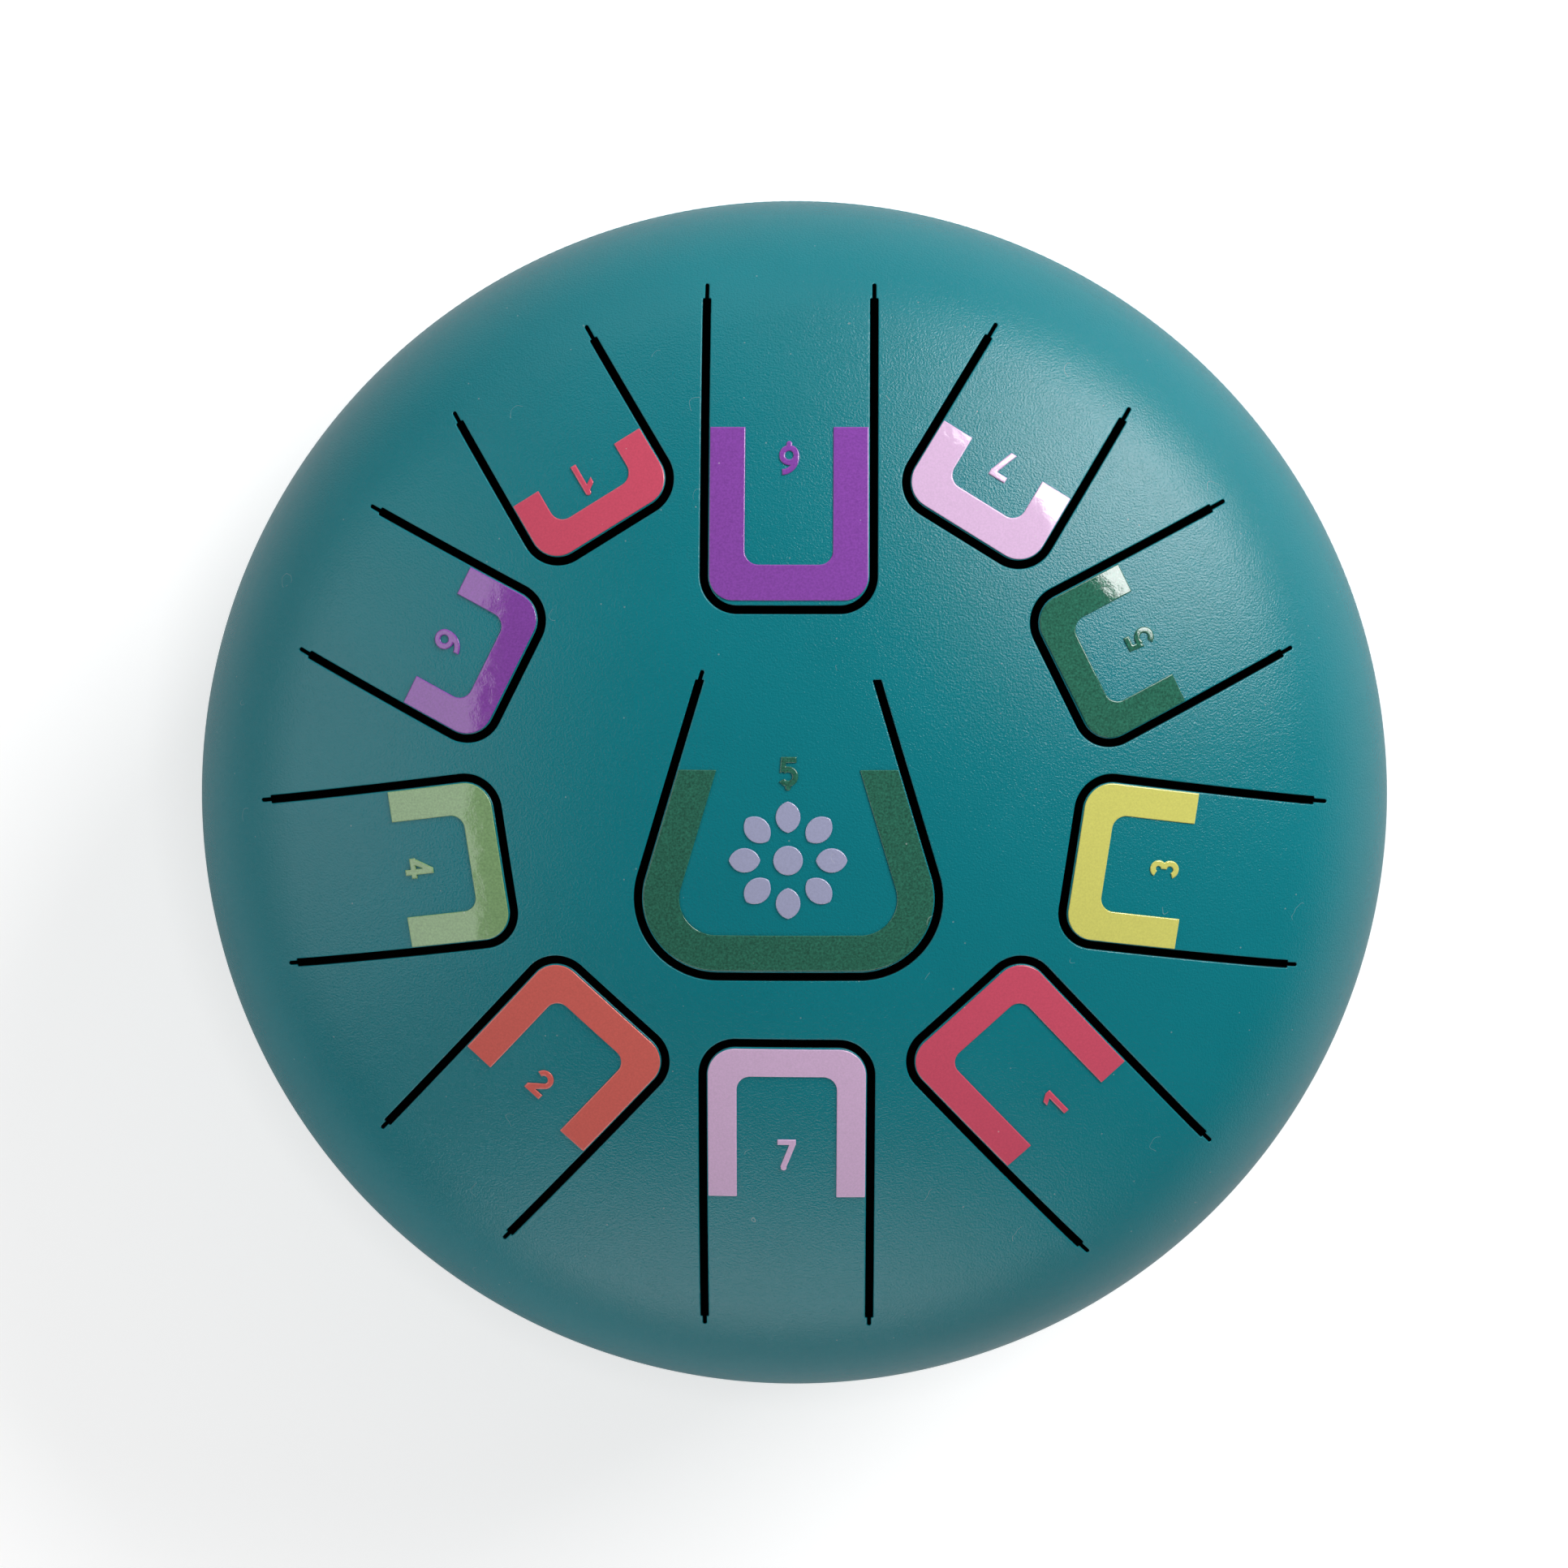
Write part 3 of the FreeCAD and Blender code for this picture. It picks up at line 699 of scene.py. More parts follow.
def round_tree():
    """Sets copies of a piece evenly round the Z axis."""
    group, given, result = new_group(
        "Pieces In A Round", "GeometryNodeTree",
        [("Piece", "NodeSocketGeometry"), ("Count", "NodeSocketInt", 3),
         ("First Angle", "NodeSocketFloat", 0.0), ("Finish", "NodeSocketMaterial")],
        [("Geometry", "NodeSocketGeometry")])
    w = Wiring(group)
    points = w.node("GeometryNodePoints", Count=given.outputs["Count"])
    share = w.math("DIVIDE", w.node("GeometryNodeInputIndex").outputs[0], given.outputs["Count"])
    turn = w.math("ADD", w.math("MULTIPLY", share, 2 * math.pi), given.outputs["First Angle"])
    turned = w.node("ShaderNodeCombineXYZ", Z=turn)
    placed = w.node(
        "GeometryNodeInstanceOnPoints", Points=points.outputs[0], Instance=given.outputs["Piece"],
        Rotation=turned.outputs[0])
    real = w.node("GeometryNodeRealizeInstances", Geometry=placed.outputs[0])
    done = w.node("GeometryNodeSetMaterial", Geometry=real.outputs[0], Material=given.outputs["Finish"])
    w.feed(result.inputs["Geometry"], done.outputs[0])
    return group


def tree_named(name, build):
    return bpy.data.node_groups.get(name) or build()


def made_by_tree(name, mesh, tree, **values):
    """Runs a mesh through a geometry node tree and returns the result as a plain mesh piece."""
    source = bpy.data.objects.new(name + "_source", mesh)
    bpy.context.collection.objects.link(source)
    modifier = source.modifiers.new("Tree", "NODES")
    modifier.node_group = tree
    sockets = {item.name: item.identifier for item in tree.interface.items_tree if item.in_out == "INPUT"}
    for socket, value in values.items():
        modifier[sockets[socket.replace("_", " ")]] = value
    graph = bpy.context.evaluated_depsgraph_get()
    made = bpy.data.meshes.new_from_object(source.evaluated_get(graph))
    made.name = name
    source.modifiers.remove(modifier)
    bpy.data.objects.remove(source)
    piece = bpy.data.objects.new(name, made)
    bpy.context.collection.objects.link(piece)
    return piece


def chain_mesh(name, points):
    """A section as a chain of points, each a radius and a height."""
    mesh = bpy.data.meshes.new(name)
    spots = [(r * MM, 0.0, z * MM) for r, z in points]
    mesh.from_pydata(spots, [(i, i + 1) for i in range(len(points) - 1)], [])
    return mesh


# ======================================================================== shared effects

def grain_group():
    """Orange-peel grain left by sprayed paint: a height, and a slow drift in tone."""
    group, given, result = new_group(
        "Spray Grain", "ShaderNodeTree",
        [("Size", "NodeSocketFloat", 0.0004)],
        [("Height", "NodeSocketFloat"), ("Drift", "NodeSocketFloat")])
    w = Wiring(group)
    place = w.node("ShaderNodeTexCoord").outputs["Object"]
    scale = w.math("DIVIDE", 1.0, given.outputs["Size"])
    fine = w.node("ShaderNodeTexNoise", Vector=place, Scale=scale, Detail=2.0, Roughness=0.55)
    broad = w.node("ShaderNodeTexNoise", Vector=place, Scale=26.0, Detail=3.0, Roughness=0.6)
    w.feed(result.inputs["Height"], fine.outputs["Fac"])
    w.feed(result.inputs["Drift"], broad.outputs["Fac"])
    return group


def dust_group():
    """Settled dust: pin-prick specks and short curled fibres of lint."""
    group, given, result = new_group(
        "Settled Dust", "ShaderNodeTree", [("Amount", "NodeSocketFloat", 0.5)],
        [("Mask", "NodeSocketFloat")])
    w = Wiring(group)
    place = w.node("ShaderNodeTexCoord").outputs["Object"]
    cells = w.node("ShaderNodeTexVoronoi", Vector=place, Scale=420.0)
    chance = w.node("ShaderNodeSeparateXYZ", Vector=cells.outputs["Color"])
    rare = w.math("LESS_THAN", chance.outputs["X"], w.math("MULTIPLY", given.outputs["Amount"], 0.16))
    speck = w.math("MULTIPLY", rare, w.math("LESS_THAN", cells.outputs["Distance"], 0.075))
    bend = w.node("ShaderNodeTexNoise", Vector=place, Scale=300.0, Detail=1.0)
    sway = w.node("ShaderNodeVectorMath", "SCALE", i0=w.vector(
        "SUBTRACT", bend.outputs["Color"], (0.5, 0.5, 0.5)))
    sway.inputs["Scale"].default_value = 0.0022
    curled = w.vector("ADD", place, sway.outputs[0])
    tufts = w.node("ShaderNodeTexVoronoi", Vector=curled, Scale=105.0)
    fate = w.node("ShaderNodeSeparateXYZ", Vector=tufts.outputs["Color"])
    bow = w.math("MULTIPLY_ADD", fate.outputs["Y"], 0.16, 0.08)
    line = w.math("LESS_THAN", w.math("ABSOLUTE", w.math(
        "SUBTRACT", tufts.outputs["Distance"], bow)), 0.0045)
    few = w.math("LESS_THAN", fate.outputs["X"], w.math("MULTIPLY", given.outputs["Amount"], 0.36))
    reach = w.vector("SUBTRACT", place, tufts.outputs["Position"])
    way = w.node("ShaderNodeVectorMath", "NORMALIZE", i0=w.vector(
        "SUBTRACT", tufts.outputs["Color"], (0.5, 0.5, 0.5)))
    ahead = w.vector("DOT_PRODUCT", w.vector("NORMALIZE", reach), way.outputs[0])
    fibre = w.math("MULTIPLY", w.math("MULTIPLY", line, few), w.math("GREATER_THAN", ahead, 0.35))
    w.feed(result.inputs["Mask"], w.math("MAXIMUM", speck, fibre))
    return group


def placed_group(w, name, build, **values):
    node = w.tree.nodes.new("ShaderNodeGroup")
    node.node_tree = tree_named(name, build)
    for socket, value in values.items():
        w.feed(node.inputs[socket], value)
    return node


def new_material(name):
    """A material with an empty tree but for its Principled shader, and the calls to wire it."""
    material = bpy.data.materials.new(name)
    material.use_nodes = True
    shader = next(n for n in material.node_tree.nodes if n.type == "BSDF_PRINCIPLED")
    return material, shader, Wiring(material.node_tree)


def bump(w, height, strength, distance):
    node = w.node("ShaderNodeBump", Height=height, Strength=strength, Distance=distance)
    return node.outputs["Normal"]


def mixed_colour(w, share, first, second):
    node = w.tree.nodes.new("ShaderNodeMix")
    node.data_type = "RGBA"
    w.feed(node.inputs["Factor"], share)
    w.feed(node.inputs["A"], first)
    w.feed(node.inputs["B"], second)
    return node.outputs["Result"]


def shaded(rgb, factor):
    return tuple(min(1.0, c * factor) for c in rgb) + (1.0,)


def cached(build):
    """Keeps the one material that a recipe makes for each name."""
    def fetch(name, *values):
        return bpy.data.materials.get(name) or build(name, *values)
    return fetch


@cached
def satin_paint(name, rgb, finish):
    """Sprayed satin paint with a fine orange-peel grain and a little settled dust."""
    material, shader, w = new_material(name)
    grain = placed_group(w, "Spray Grain", grain_group, Size=finish.grain)
    dust = placed_group(w, "Settled Dust", dust_group, Amount=finish.dust)
    base = mixed_colour(w, grain.outputs["Drift"], shaded(rgb, 0.92), shaded(rgb, 1.08))
    dusty = mixed_colour(w, w.math("MULTIPLY", dust.outputs["Mask"], 0.3), base, (0.45, 0.52, 0.52, 1.0))
    w.feed(shader.inputs["Base Color"], dusty)
    rough = w.math("MULTIPLY_ADD", grain.outputs["Drift"], 0.05, 0.235)
    w.feed(shader.inputs["Roughness"], rough)
    w.feed(shader.inputs["Normal"], bump(w, grain.outputs["Height"], finish.grain_depth, 0.00022))
    shader.inputs["Specular IOR Level"].default_value = 0.5
    return material


@cached
def cut_vinyl(name, rgb, finish, mottle):
    """Cut vinyl: a gloss face that lets some of the paint's grain through its ink."""
    material, shader, w = new_material(name)
    grain = placed_group(w, "Spray Grain", grain_group, Size=finish.grain)
    dust = placed_group(w, "Settled Dust", dust_group, Amount=finish.dust)
    speckle = w.node("ShaderNodeMapRange", Value=grain.outputs["Height"], From_Min=0.3, From_Max=0.7)
    base = mixed_colour(w, speckle.outputs[0], shaded(rgb, 1 - mottle), shaded(rgb, 1 + mottle))
    dusty = mixed_colour(w, w.math("MULTIPLY", dust.outputs["Mask"], 0.3), base, (0.8, 0.8, 0.8, 1.0))
    w.feed(shader.inputs["Base Color"], dusty)
    w.feed(shader.inputs["Roughness"], w.math("MULTIPLY_ADD", grain.outputs["Drift"], 0.03, 0.03))
    place = w.node("ShaderNodeTexCoord").outputs["Object"]
    swell = w.node("ShaderNodeTexNoise", Vector=place, Scale=170.0, Detail=2.0, Roughness=0.5)
    relief = w.math("MULTIPLY_ADD", grain.outputs["Height"], 0.1, swell.outputs["Fac"])
    w.feed(shader.inputs["Normal"], bump(w, relief, 1.0, 0.00007))
    shader.inputs["Specular IOR Level"].default_value = 1.0
    return material


def grained(name, rgb, size, tones, roughness, relief, metallic=0.0, specular=0.5):
    """A plain finish with grain. tones are the darkest and lightest factors on the colour,
    roughness is what drives it, by how much and from where, and relief a strength and a depth."""
    material, shader, w = new_material(name)
    grain = placed_group(w, "Spray Grain", grain_group, Size=size)
    darkest, lightest = (shaded(rgb, tone) for tone in tones)
    driver, gain, least = roughness
    w.feed(shader.inputs["Base Color"], mixed_colour(w, grain.outputs["Drift"], darkest, lightest))
    w.feed(shader.inputs["Roughness"], w.math("MULTIPLY_ADD", grain.outputs[driver], gain, least))
    w.feed(shader.inputs["Normal"], bump(w, grain.outputs["Height"], *relief))
    shader.inputs["Metallic"].default_value = metallic
    shader.inputs["Specular IOR Level"].default_value = specular
    return material


@cached
def bare_inside_painted_shade(name, rgb, grain):
    """The unsprayed inside of the shells and the slots' walls: steel darkened to near-black as painted
    shade, with a haze of overspray.
    """
    return grained(name, rgb, 2 * grain, (0.6, 1.5), ("Height", 0.2, 0.75), (0.2, 0.0001), specular=0.15)


@cached
def moulded_rubber(name, rgb):
    """Matt moulded rubber with a faint mould texture, greyed in patches."""
    return grained(name, rgb, 0.0006, (0.8, 1.8), ("Drift", 0.2, 0.6), (0.25, 0.0001))


@cached
def black_zinc(name, rgb):
    """Blackened zinc on the fasteners, dulled in patches."""
    return grained(name, rgb, 0.0009, (0.85, 1.1), ("Height", 0.25, 0.2), (0.1, 0.00005), metallic=1.0)


# near-black, far darker than bare steel: painted shade inside the drum and down the slots' walls
INSIDE_STEEL_PAINTED_SHADE = (0.005, 0.0055, 0.006)
MOTTLE = {"dark_green": 0.42, "light_green": 0.16, "purple": 0.14}     # grain seen through thin inks
FAINT_MOTTLE = 0.06         # and through the others
ZINC = (0.035, 0.036, 0.038)


def settings():
    scene = bpy.context.scene
    return scene.drum_shape, scene.drum_finish


def paint_and_inside():
    finish = settings()[1]
    return (satin_paint("satin_paint", finish.paint, finish),
            bare_inside_painted_shade("bare_inside_painted_shade", INSIDE_STEEL_PAINTED_SHADE, finish.grain))


def vinyl(colour_name):
    finish = settings()[1]
    return cut_vinyl("cut_vinyl_" + colour_name, getattr(finish, colour_name), finish,
                     MOTTLE.get(colour_name, FAINT_MOTTLE))


# ======================================================================== pieces

SHELL_STEPS = 300           # stations round the lower shell
WELD_STEPS = 1260           # and round the weld, three to a ripple
WELD_DEPTH = 0.5            # how far the weld reaches inside the sheet
WELD_SUNK = 0.2             # and how far its toes lie under the rim's surface
MARK_STEP = 2.0
NUMBER_STEP = 0.16
OVER_DOME = 0.2             # corners nearer to the dome than this aren't on a number's upper face
TINY_EDGE = 0.02
EYE_R = 0.25                # of the rosette's radius, as are the next two
PETAL_START = 0.467
PETAL_WIDTH = 0.417
PETAL_STEPS = 14
EYE_STEPS = 40
FOOT_STEPS = 72
FOOT_WAIST = 0.35
FOOT_SEAT_R = 7.0
# how far in from a rim and how far up from the sole: the outer edge and groove, then the recess's edge
SOLE_RINGS = ((0.0, 1.0), (0.1, 0.5), (0.35, 0.15), (0.8, 0.0),
              (1.6, 0.0), (1.9, 0.4), (2.4, 0.4), (2.7, 0.0))
RECESS_RINGS = ((-0.6, 0.0), (-0.15, 0.2), (0.0, 0.7))


def circle_loop(radius, steps):
    points = [around(radius, 2 * math.pi * k / steps) for k in range(steps)]
    return lambda inset=0.0: points


def circle_loop_inset(radius, steps):
    points = circle_loop(radius, steps)()
    return lambda inset=0.0: inset_loop(points, inset)


def evenly_between(start, end, steps):
    return [start + (end - start) * k / steps for k in range(steps + 1)]


def turned_skirt(sheet, top_ids, bottom_ids, edge):
    """The shell beyond its slots, turned out to the rim, round it and back along the inside."""
    start = math.asin((SKIRT_R - KNUCKLE_CENTRE_R) / KNUCKLE_R)
    lip_z = WELD_HIGH - RIM_Z
    end = math.pi / 2 - math.asin((lip_z + edge) / KNUCKLE_R)
    section = [
        (KNUCKLE_CENTRE_R + KNUCKLE_R * math.sin(lean), RIM_Z + KNUCKLE_R * math.cos(lean),
         (math.sin(lean), math.cos(lean)), OUTSIDE)
        for lean in evenly_between(start, end, SKIRT_ROWS)
    ]
    lip_r = section[-1][0]
    section += [
        (lip_r - edge * (1 - math.cos(a)), WELD_HIGH + edge * (1 - math.sin(a)),
         (math.cos(a), -math.sin(a)), OUTSIDE)
        for a in ROLL
    ]
    inner_r = KNUCKLE_R - SHEET
    inner_start = math.asin((SKIRT_R - KNUCKLE_CENTRE_R) / inner_r)
    inner_end = math.pi / 2 - math.asin(lip_z / inner_r)
    section += [
        (KNUCKLE_CENTRE_R + inner_r * math.sin(lean), RIM_Z + inner_r * math.cos(lean),
         (-math.sin(lean), -math.cos(lean)), INSIDE)
        for lean in evenly_between(inner_end, inner_start, SKIRT_ROWS // 2)
    ]
    spokes = [(math.cos(2 * math.pi * k / SKIRT_STEPS), math.sin(2 * math.pi * k / SKIRT_STEPS))
              for k in range(SKIRT_STEPS)]
    before_ids = top_ids
    for i in range(1, len(section)):
        r, z, facing, finish = section[i]
        last = i == len(section) - 1
        ids = bottom_ids if last else [sheet.add((r * c, r * s, z)) for c, s in spokes]
        crease = section[i - 1][3] != finish
        flat = (0.0, -1.0) if crease else None
        above, below = (
            [Vector((out * c, out * s, up)) for c, s in spokes]
            for out, up in (flat or section[i - 1][2], flat or facing))
        sheet.strip(before_ids, ids, above, below, finish)
        before_ids = ids


def make_top_shell():
    """The upper shell with a window for every slot, each tongue's root left standing in it."""
    shape, _ = settings()
    loops = [circle_loop(SKIRT_R, SKIRT_STEPS)] + [plan.window_loop() for plan in PLANS]
    edge = shape.slot_edge / MM
    sheet, top_ids, bottom_ids = dome_sheet(loops, 0.0, SHEET, edge, shape.shell_step / MM, open_first=True)
    turned_skirt(sheet, top_ids, bottom_ids, edge)
    piece = sheet.make("upper_shell", paint_and_inside())
    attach(piece, "drum")
    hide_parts("top_shell")


def make_tongues():
    """Each tongue runs on from the shell's stub."""
    shape, _ = settings()
    for plan in PLANS:
        note = plan.tongue.note
        sheet, *_ = dome_sheet(
            [plan.tongue_loop()], 0.0, SHEET, shape.slot_edge / MM, shape.shell_step / MM)
        piece = sheet.make("sprung_tongue_" + note, paint_and_inside())
        join = plan.joint_line()
        bend_start = plan.on_drum(Vector((join, 0.0)))
        bend_end = plan.on_drum(Vector((min(join - BEND_LENGTH, plan.tongue.leg + BEND_PAST_LEG), 0.0)))
        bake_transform(piece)
        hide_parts("tongue_" + note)


def lower_section(edge):
    """Section of the lower shell: out along the outer skin, round the lip and back inside."""
    def crown(lean, r):
        return r * math.sin(lean), LOWER_CROWN_Z - r * math.cos(lean)

    def knuckle(lean, r):
        return KNUCKLE_CENTRE_R + r * math.sin(lean), RIM_Z - r * math.cos(lean)

    crown_start, lip = math.asin(SOUND_HOLE_R / CROWN_R), RIM_Z - WELD_LOW
    end = math.pi / 2 - math.asin((lip + edge) / KNUCKLE_R)
    points = [crown(lean, CROWN_R) for lean in evenly_between(crown_start, CROWN_ANGLE, 40)[:-1]]
    points += [knuckle(lean, KNUCKLE_R) for lean in evenly_between(CROWN_ANGLE, end, 36)]
    lip_r = points[-1][0]
    points += [(lip_r - edge * (1 - math.cos(a)), WELD_LOW - edge * (1 - math.sin(a))) for a in ROLL]
    inner_knuckle, inner_crown = KNUCKLE_R - SHEET, CROWN_R - SHEET
    inner_end = math.pi / 2 - math.asin(lip / inner_knuckle)
    points += [knuckle(lean, inner_knuckle) for lean in evenly_between(inner_end, CROWN_ANGLE, 18)]
    hole_lean = math.asin((SOUND_HOLE_R + edge) / inner_crown)
    points += [crown(lean, inner_crown) for lean in evenly_between(CROWN_ANGLE, hole_lean, 20)[1:]]
    top_z, foot_z = points[-1][1], points[0][1]
    points += [(SOUND_HOLE_R + edge * (1 - math.sin(a)), top_z - edge * (1 - math.cos(a))) for a in ROLL]
    points += [(SOUND_HOLE_R + edge * (1 - math.cos(a)), foot_z + edge * (1 - math.sin(a)))
               for a in (0.0, *ROLL[:2])]
    points[0] = (SOUND_HOLE_R + edge, LOWER_CROWN_Z - math.sqrt(CROWN_R ** 2 - (SOUND_HOLE_R + edge) ** 2))
    return points + points[:1]


def smooth_by_angle(piece, degrees):
    piece.data.set_sharp_from_angle(angle=math.radians(degrees))


def make_bottom_shell():
    """The lower shell, turned from its section, with a rolled edge round the sound hole."""
    shape, _ = settings()
    paint, inside = paint_and_inside()
    section = chain_mesh("lower_section", lower_section(shape.slot_edge / MM))
    piece = made_by_tree(
        "lower_shell", section, tree_named("Turned Section", turned_tree), Steps=SHELL_STEPS,
        Middle_Height=RIM_Z * MM, Outside_Finish=paint, Inside_Finish=inside)
    smooth_by_angle(piece, STEEL_SMOOTH)
    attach(piece, "drum")
    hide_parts("bottom_shell")


def make_rim_weld():
    """The dressed weld between the rims, its ripples filed nearly flush and sprayed over."""
    shape, _ = settings()
    paint, inside = paint_and_inside()
    half, proud = (WELD_HIGH - WELD_LOW) / 2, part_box("rim_weld")[1][0] / MM
    inner, toe = BODY_R - SHEET - WELD_DEPTH, BODY_R - WELD_SUNK
    section = [(inner, RIM_Z - half), (toe, RIM_Z - half)]
    for degrees in range(-60, 61, 30):
        a = math.radians(degrees)
        section.append((toe + (proud - BODY_R + WELD_SUNK) * math.cos(a), RIM_Z + half * math.sin(a)))
    section += [(toe, RIM_Z + half), (inner, RIM_Z + half), (inner, RIM_Z - half)]
    piece = made_by_tree(
        "dressed_weld", chain_mesh("weld_section", section), tree_named("Turned Section", turned_tree),
        Steps=WELD_STEPS, Ripples=shape.ripples, Ripple_Height=shape.ripple_height / 2,
        Middle_Height=RIM_Z * MM, Outside_Finish=paint, Inside_Finish=inside)
    smooth_by_angle(piece, STEEL_SMOOTH)
    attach(piece, "drum")
    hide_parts("rim_weld")


def make_marks():
    """The U of vinyl round each tongue's tip."""
    shape, _ = settings()
    for plan in PLANS:
        note, shade = plan.tongue.note, plan.tongue.vinyl
        sheet, *_ = dome_sheet(
            [plan.mark_loop()], -shape.vinyl / MM, 0.0, shape.mark_edge / MM, MARK_STEP,
            wall_finish=OUTSIDE)
        piece = sheet.make("vinyl_mark_" + note, [vinyl(shade)])
        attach(piece, "tongue_" + note)
        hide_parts("mark_" + note)


def face_loops(node):
    """The plan outlines of a CAD node's upper face, with its material on their left."""
    mesh = frame["nodes"][node].data
    edges = {}
    for polygon in mesh.polygons:
        corners = [mesh.vertices[v].co for v in polygon.vertices]
        if any((c / MM - Vector((0, 0, CROWN_Z))).length < CROWN_R + OVER_DOME for c in corners):
            continue
        spots = [(round(c.x / MM, 3), round(c.y / MM, 3)) for c in corners]
        for i in range(3):
            here, there = spots[i], spots[(i + 1) % 3]
            if (there, here) in edges:
                del edges[(there, here)]
            else:
                edges[(here, there)] = True
    following = dict(edges.keys())
    loops = []
    while following:
        start = next(iter(following))
        loop, here = [], start
        while here in following:
            loop.append(Vector(here))
            here = following.pop(here)
        loops.append([p for i, p in enumerate(loop) if (p - loop[i - 1]).length > TINY_EDGE])
    return sorted(loops, key=len, reverse=True)


def make_numbers():
    """The digits and octave dots, cut from the same vinyl with softened edges."""
    shape, _ = settings()
    for plan in PLANS:
        note, shade = plan.tongue.note, plan.tongue.vinyl
        piece = pillow(
            face_loops("number_" + note), shape.vinyl / MM, shape.number_edge / MM, NUMBER_STEP,
            "vinyl_number_" + note, [vinyl(shade)])
        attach(piece, "tongue_" + note)
        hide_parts("number_" + note)


def petal_loop(start, end, width):
    """A pointed petal along +X: two arcs that meet at both ends."""
    half, rise = (end - start) / 2, width / 2
    radius = (half ** 2 + rise ** 2) / (2 * rise)
    reach = math.asin(half / radius)
    turns = [-reach + 2 * reach * k / PETAL_STEPS for k in range(PETAL_STEPS)]
    upper = [Vector((start + half + radius * math.sin(turn), rise - radius + radius * math.cos(turn)))
             for turn in turns]
    lower = [Vector((2 * (start + half) - p.x, -p.y)) for p in upper]
    points = (upper + lower)[::-1]
    return lambda inset=0.0: inset_loop(points, inset)


def make_rosette():
    """A ring of petals round an eye, each a scrap of vinyl, set on the middle tongue."""
    shape, _ = settings()
    lilac = vinyl("lilac")
    reach = shape.rosette_r / MM
    petal, eye = (
        dome_sheet([loop], -shape.vinyl / MM, 0.0, shape.mark_edge / MM, 0.0, wall_finish=OUTSIDE)[0]
        for loop in (petal_loop(PETAL_START * reach, reach, PETAL_WIDTH * reach),
                     circle_loop_inset(EYE_R * reach, EYE_STEPS)))
    pattern = petal.make("petal", [lilac])
    ring = made_by_tree(
        "rosette_petals", pattern.data, tree_named("Pieces In A Round", round_tree),
        Count=shape.petals, First_Angle=0.0, Finish=lilac)
    bpy.data.objects.remove(pattern)
    middle = eye.make("rosette_eye", [lilac])
    centre = Matrix.Translation((0.0, 0.0, CROWN_Z * MM))
    lean = math.asin(shape.rosette_y / MM / CROWN_R)
    settle = centre @ Matrix.Rotation(lean, 4, "X") @ centre.inverted()
    for piece in (ring, middle):
        piece.data.transform(settle)
        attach(piece, "tongue_" + CENTRE_NOTE)
    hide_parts("centre_rosette")
    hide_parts("centre_rosette")


class FootAxis:
    """A foot's own frame: h leaves the shell squarely, u points away from the drum's axis."""

    def __init__(self):
        self.lean = math.asin(FOOT_AT_R / CROWN_R)
        self.mouth_z = LOWER_CROWN_Z - CROWN_R * math.cos(self.lean)

    def shell(self, u, v):
        return math.sqrt(CROWN_R ** 2 - u ** 2 - v ** 2) - CROWN_R

    def sole(self, u):
        return (self.mouth_z + u * math.sin(self.lean)) / math.cos(self.lean)

    def on_drum(self, u, v, h):
        out, down = math.sin(self.lean), math.cos(self.lean)
        return (FOOT_AT_R + u * down + h * out, v, self.mouth_z + u * out - h * down)


def foot_rings():
    """Rings of a foot from its screw hole out, down the wall, across the sole and up the recess.

    Each is a radius, a share of the way from shell to sole, and a drop in millimetres from there.
    """
    rings = [(SCREW_HOLE_R, 0.0, 0.0), (FOOT_SEAT_R, 0.0, 0.0), (FOOT_TOP_R - 0.5, 0.0, 0.0)]
    rings += [(FOOT_TOP_R - 0.15, 0.0, 0.15), (FOOT_TOP_R, 0.0, 0.5)]
    for share in evenly_between(0.0, 1.0, 8)[1:-1]:
        wall = FOOT_TOP_R + (FOOT_SOLE_R - FOOT_TOP_R) * share - FOOT_WAIST * math.sin(math.pi * share)
        rings.append((wall, share, 0.0))
    rings += [(FOOT_SOLE_R - back, 1.0, -rise) for back, rise in SOLE_RINGS]
    rings += [(FOOT_RECESS_R - back, 1.0, -rise) for back, rise in RECESS_RINGS]
    return rings


def make_feet():
    """Three rubber feet: a waisted wall, a grooved level sole and a deep screw recess."""
    _, finish = settings()
    axis, sheet, loops = FootAxis(), Sheet(), []
    placed = [(r, lambda u, v, s=share, d=drop: axis.shell(u, v) * (1 - s) + axis.sole(u) * s + d)
              for r, share, drop in foot_rings()]
    placed += [(FOOT_RECESS_R, lambda u, v: FOOT_FLOOR + 0.5)]
    placed += [(r, lambda u, v: FOOT_FLOOR) for r in (FOOT_RECESS_R - 0.4, SCREW_HOLE_R)]
    for radius, height in placed:
        ring = []
        for k in range(FOOT_STEPS):
            turn = 2 * math.pi * k / FOOT_STEPS
            u, v = radius * math.cos(turn), radius * math.sin(turn)
            ring.append(sheet.add(axis.on_drum(u, v, height(u, v))))
        loops.append(ring)
    for here, there in zip(loops, loops[1:] + loops[:1]):
        for i in range(FOOT_STEPS):
            sheet.face((here[i - 1], there[i - 1], there[i], here[i]))
    rubber = moulded_rubber("moulded_rubber", finish.rubber)
    pattern = sheet.make("foot", [rubber])
    piece = made_by_tree(
        "rubber_feet", pattern.data, tree_named("Pieces In A Round", round_tree), Count=len(FOOT_NAMES),
        First_Angle=-math.pi / 2, Finish=rubber)
    bpy.data.objects.remove(pattern)
    smooth_by_angle(piece, RUBBER_SMOOTH)
    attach(piece, "drum")
    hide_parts(*["foot_" + name for name in FOOT_NAMES])


def finish_fasteners():
    """Screws, washers and nuts keep their own shapes and get a blackened finish."""
    zinc = black_zinc("black_zinc", ZINC)
    for name in FOOT_NAMES:
        for kind in ("foot_screw_", "foot_washer_", "foot_nut_"):
            for held in frame["nodes"][kind + name].material_slots:
                held.material = zinc


# ======================================================================== stage

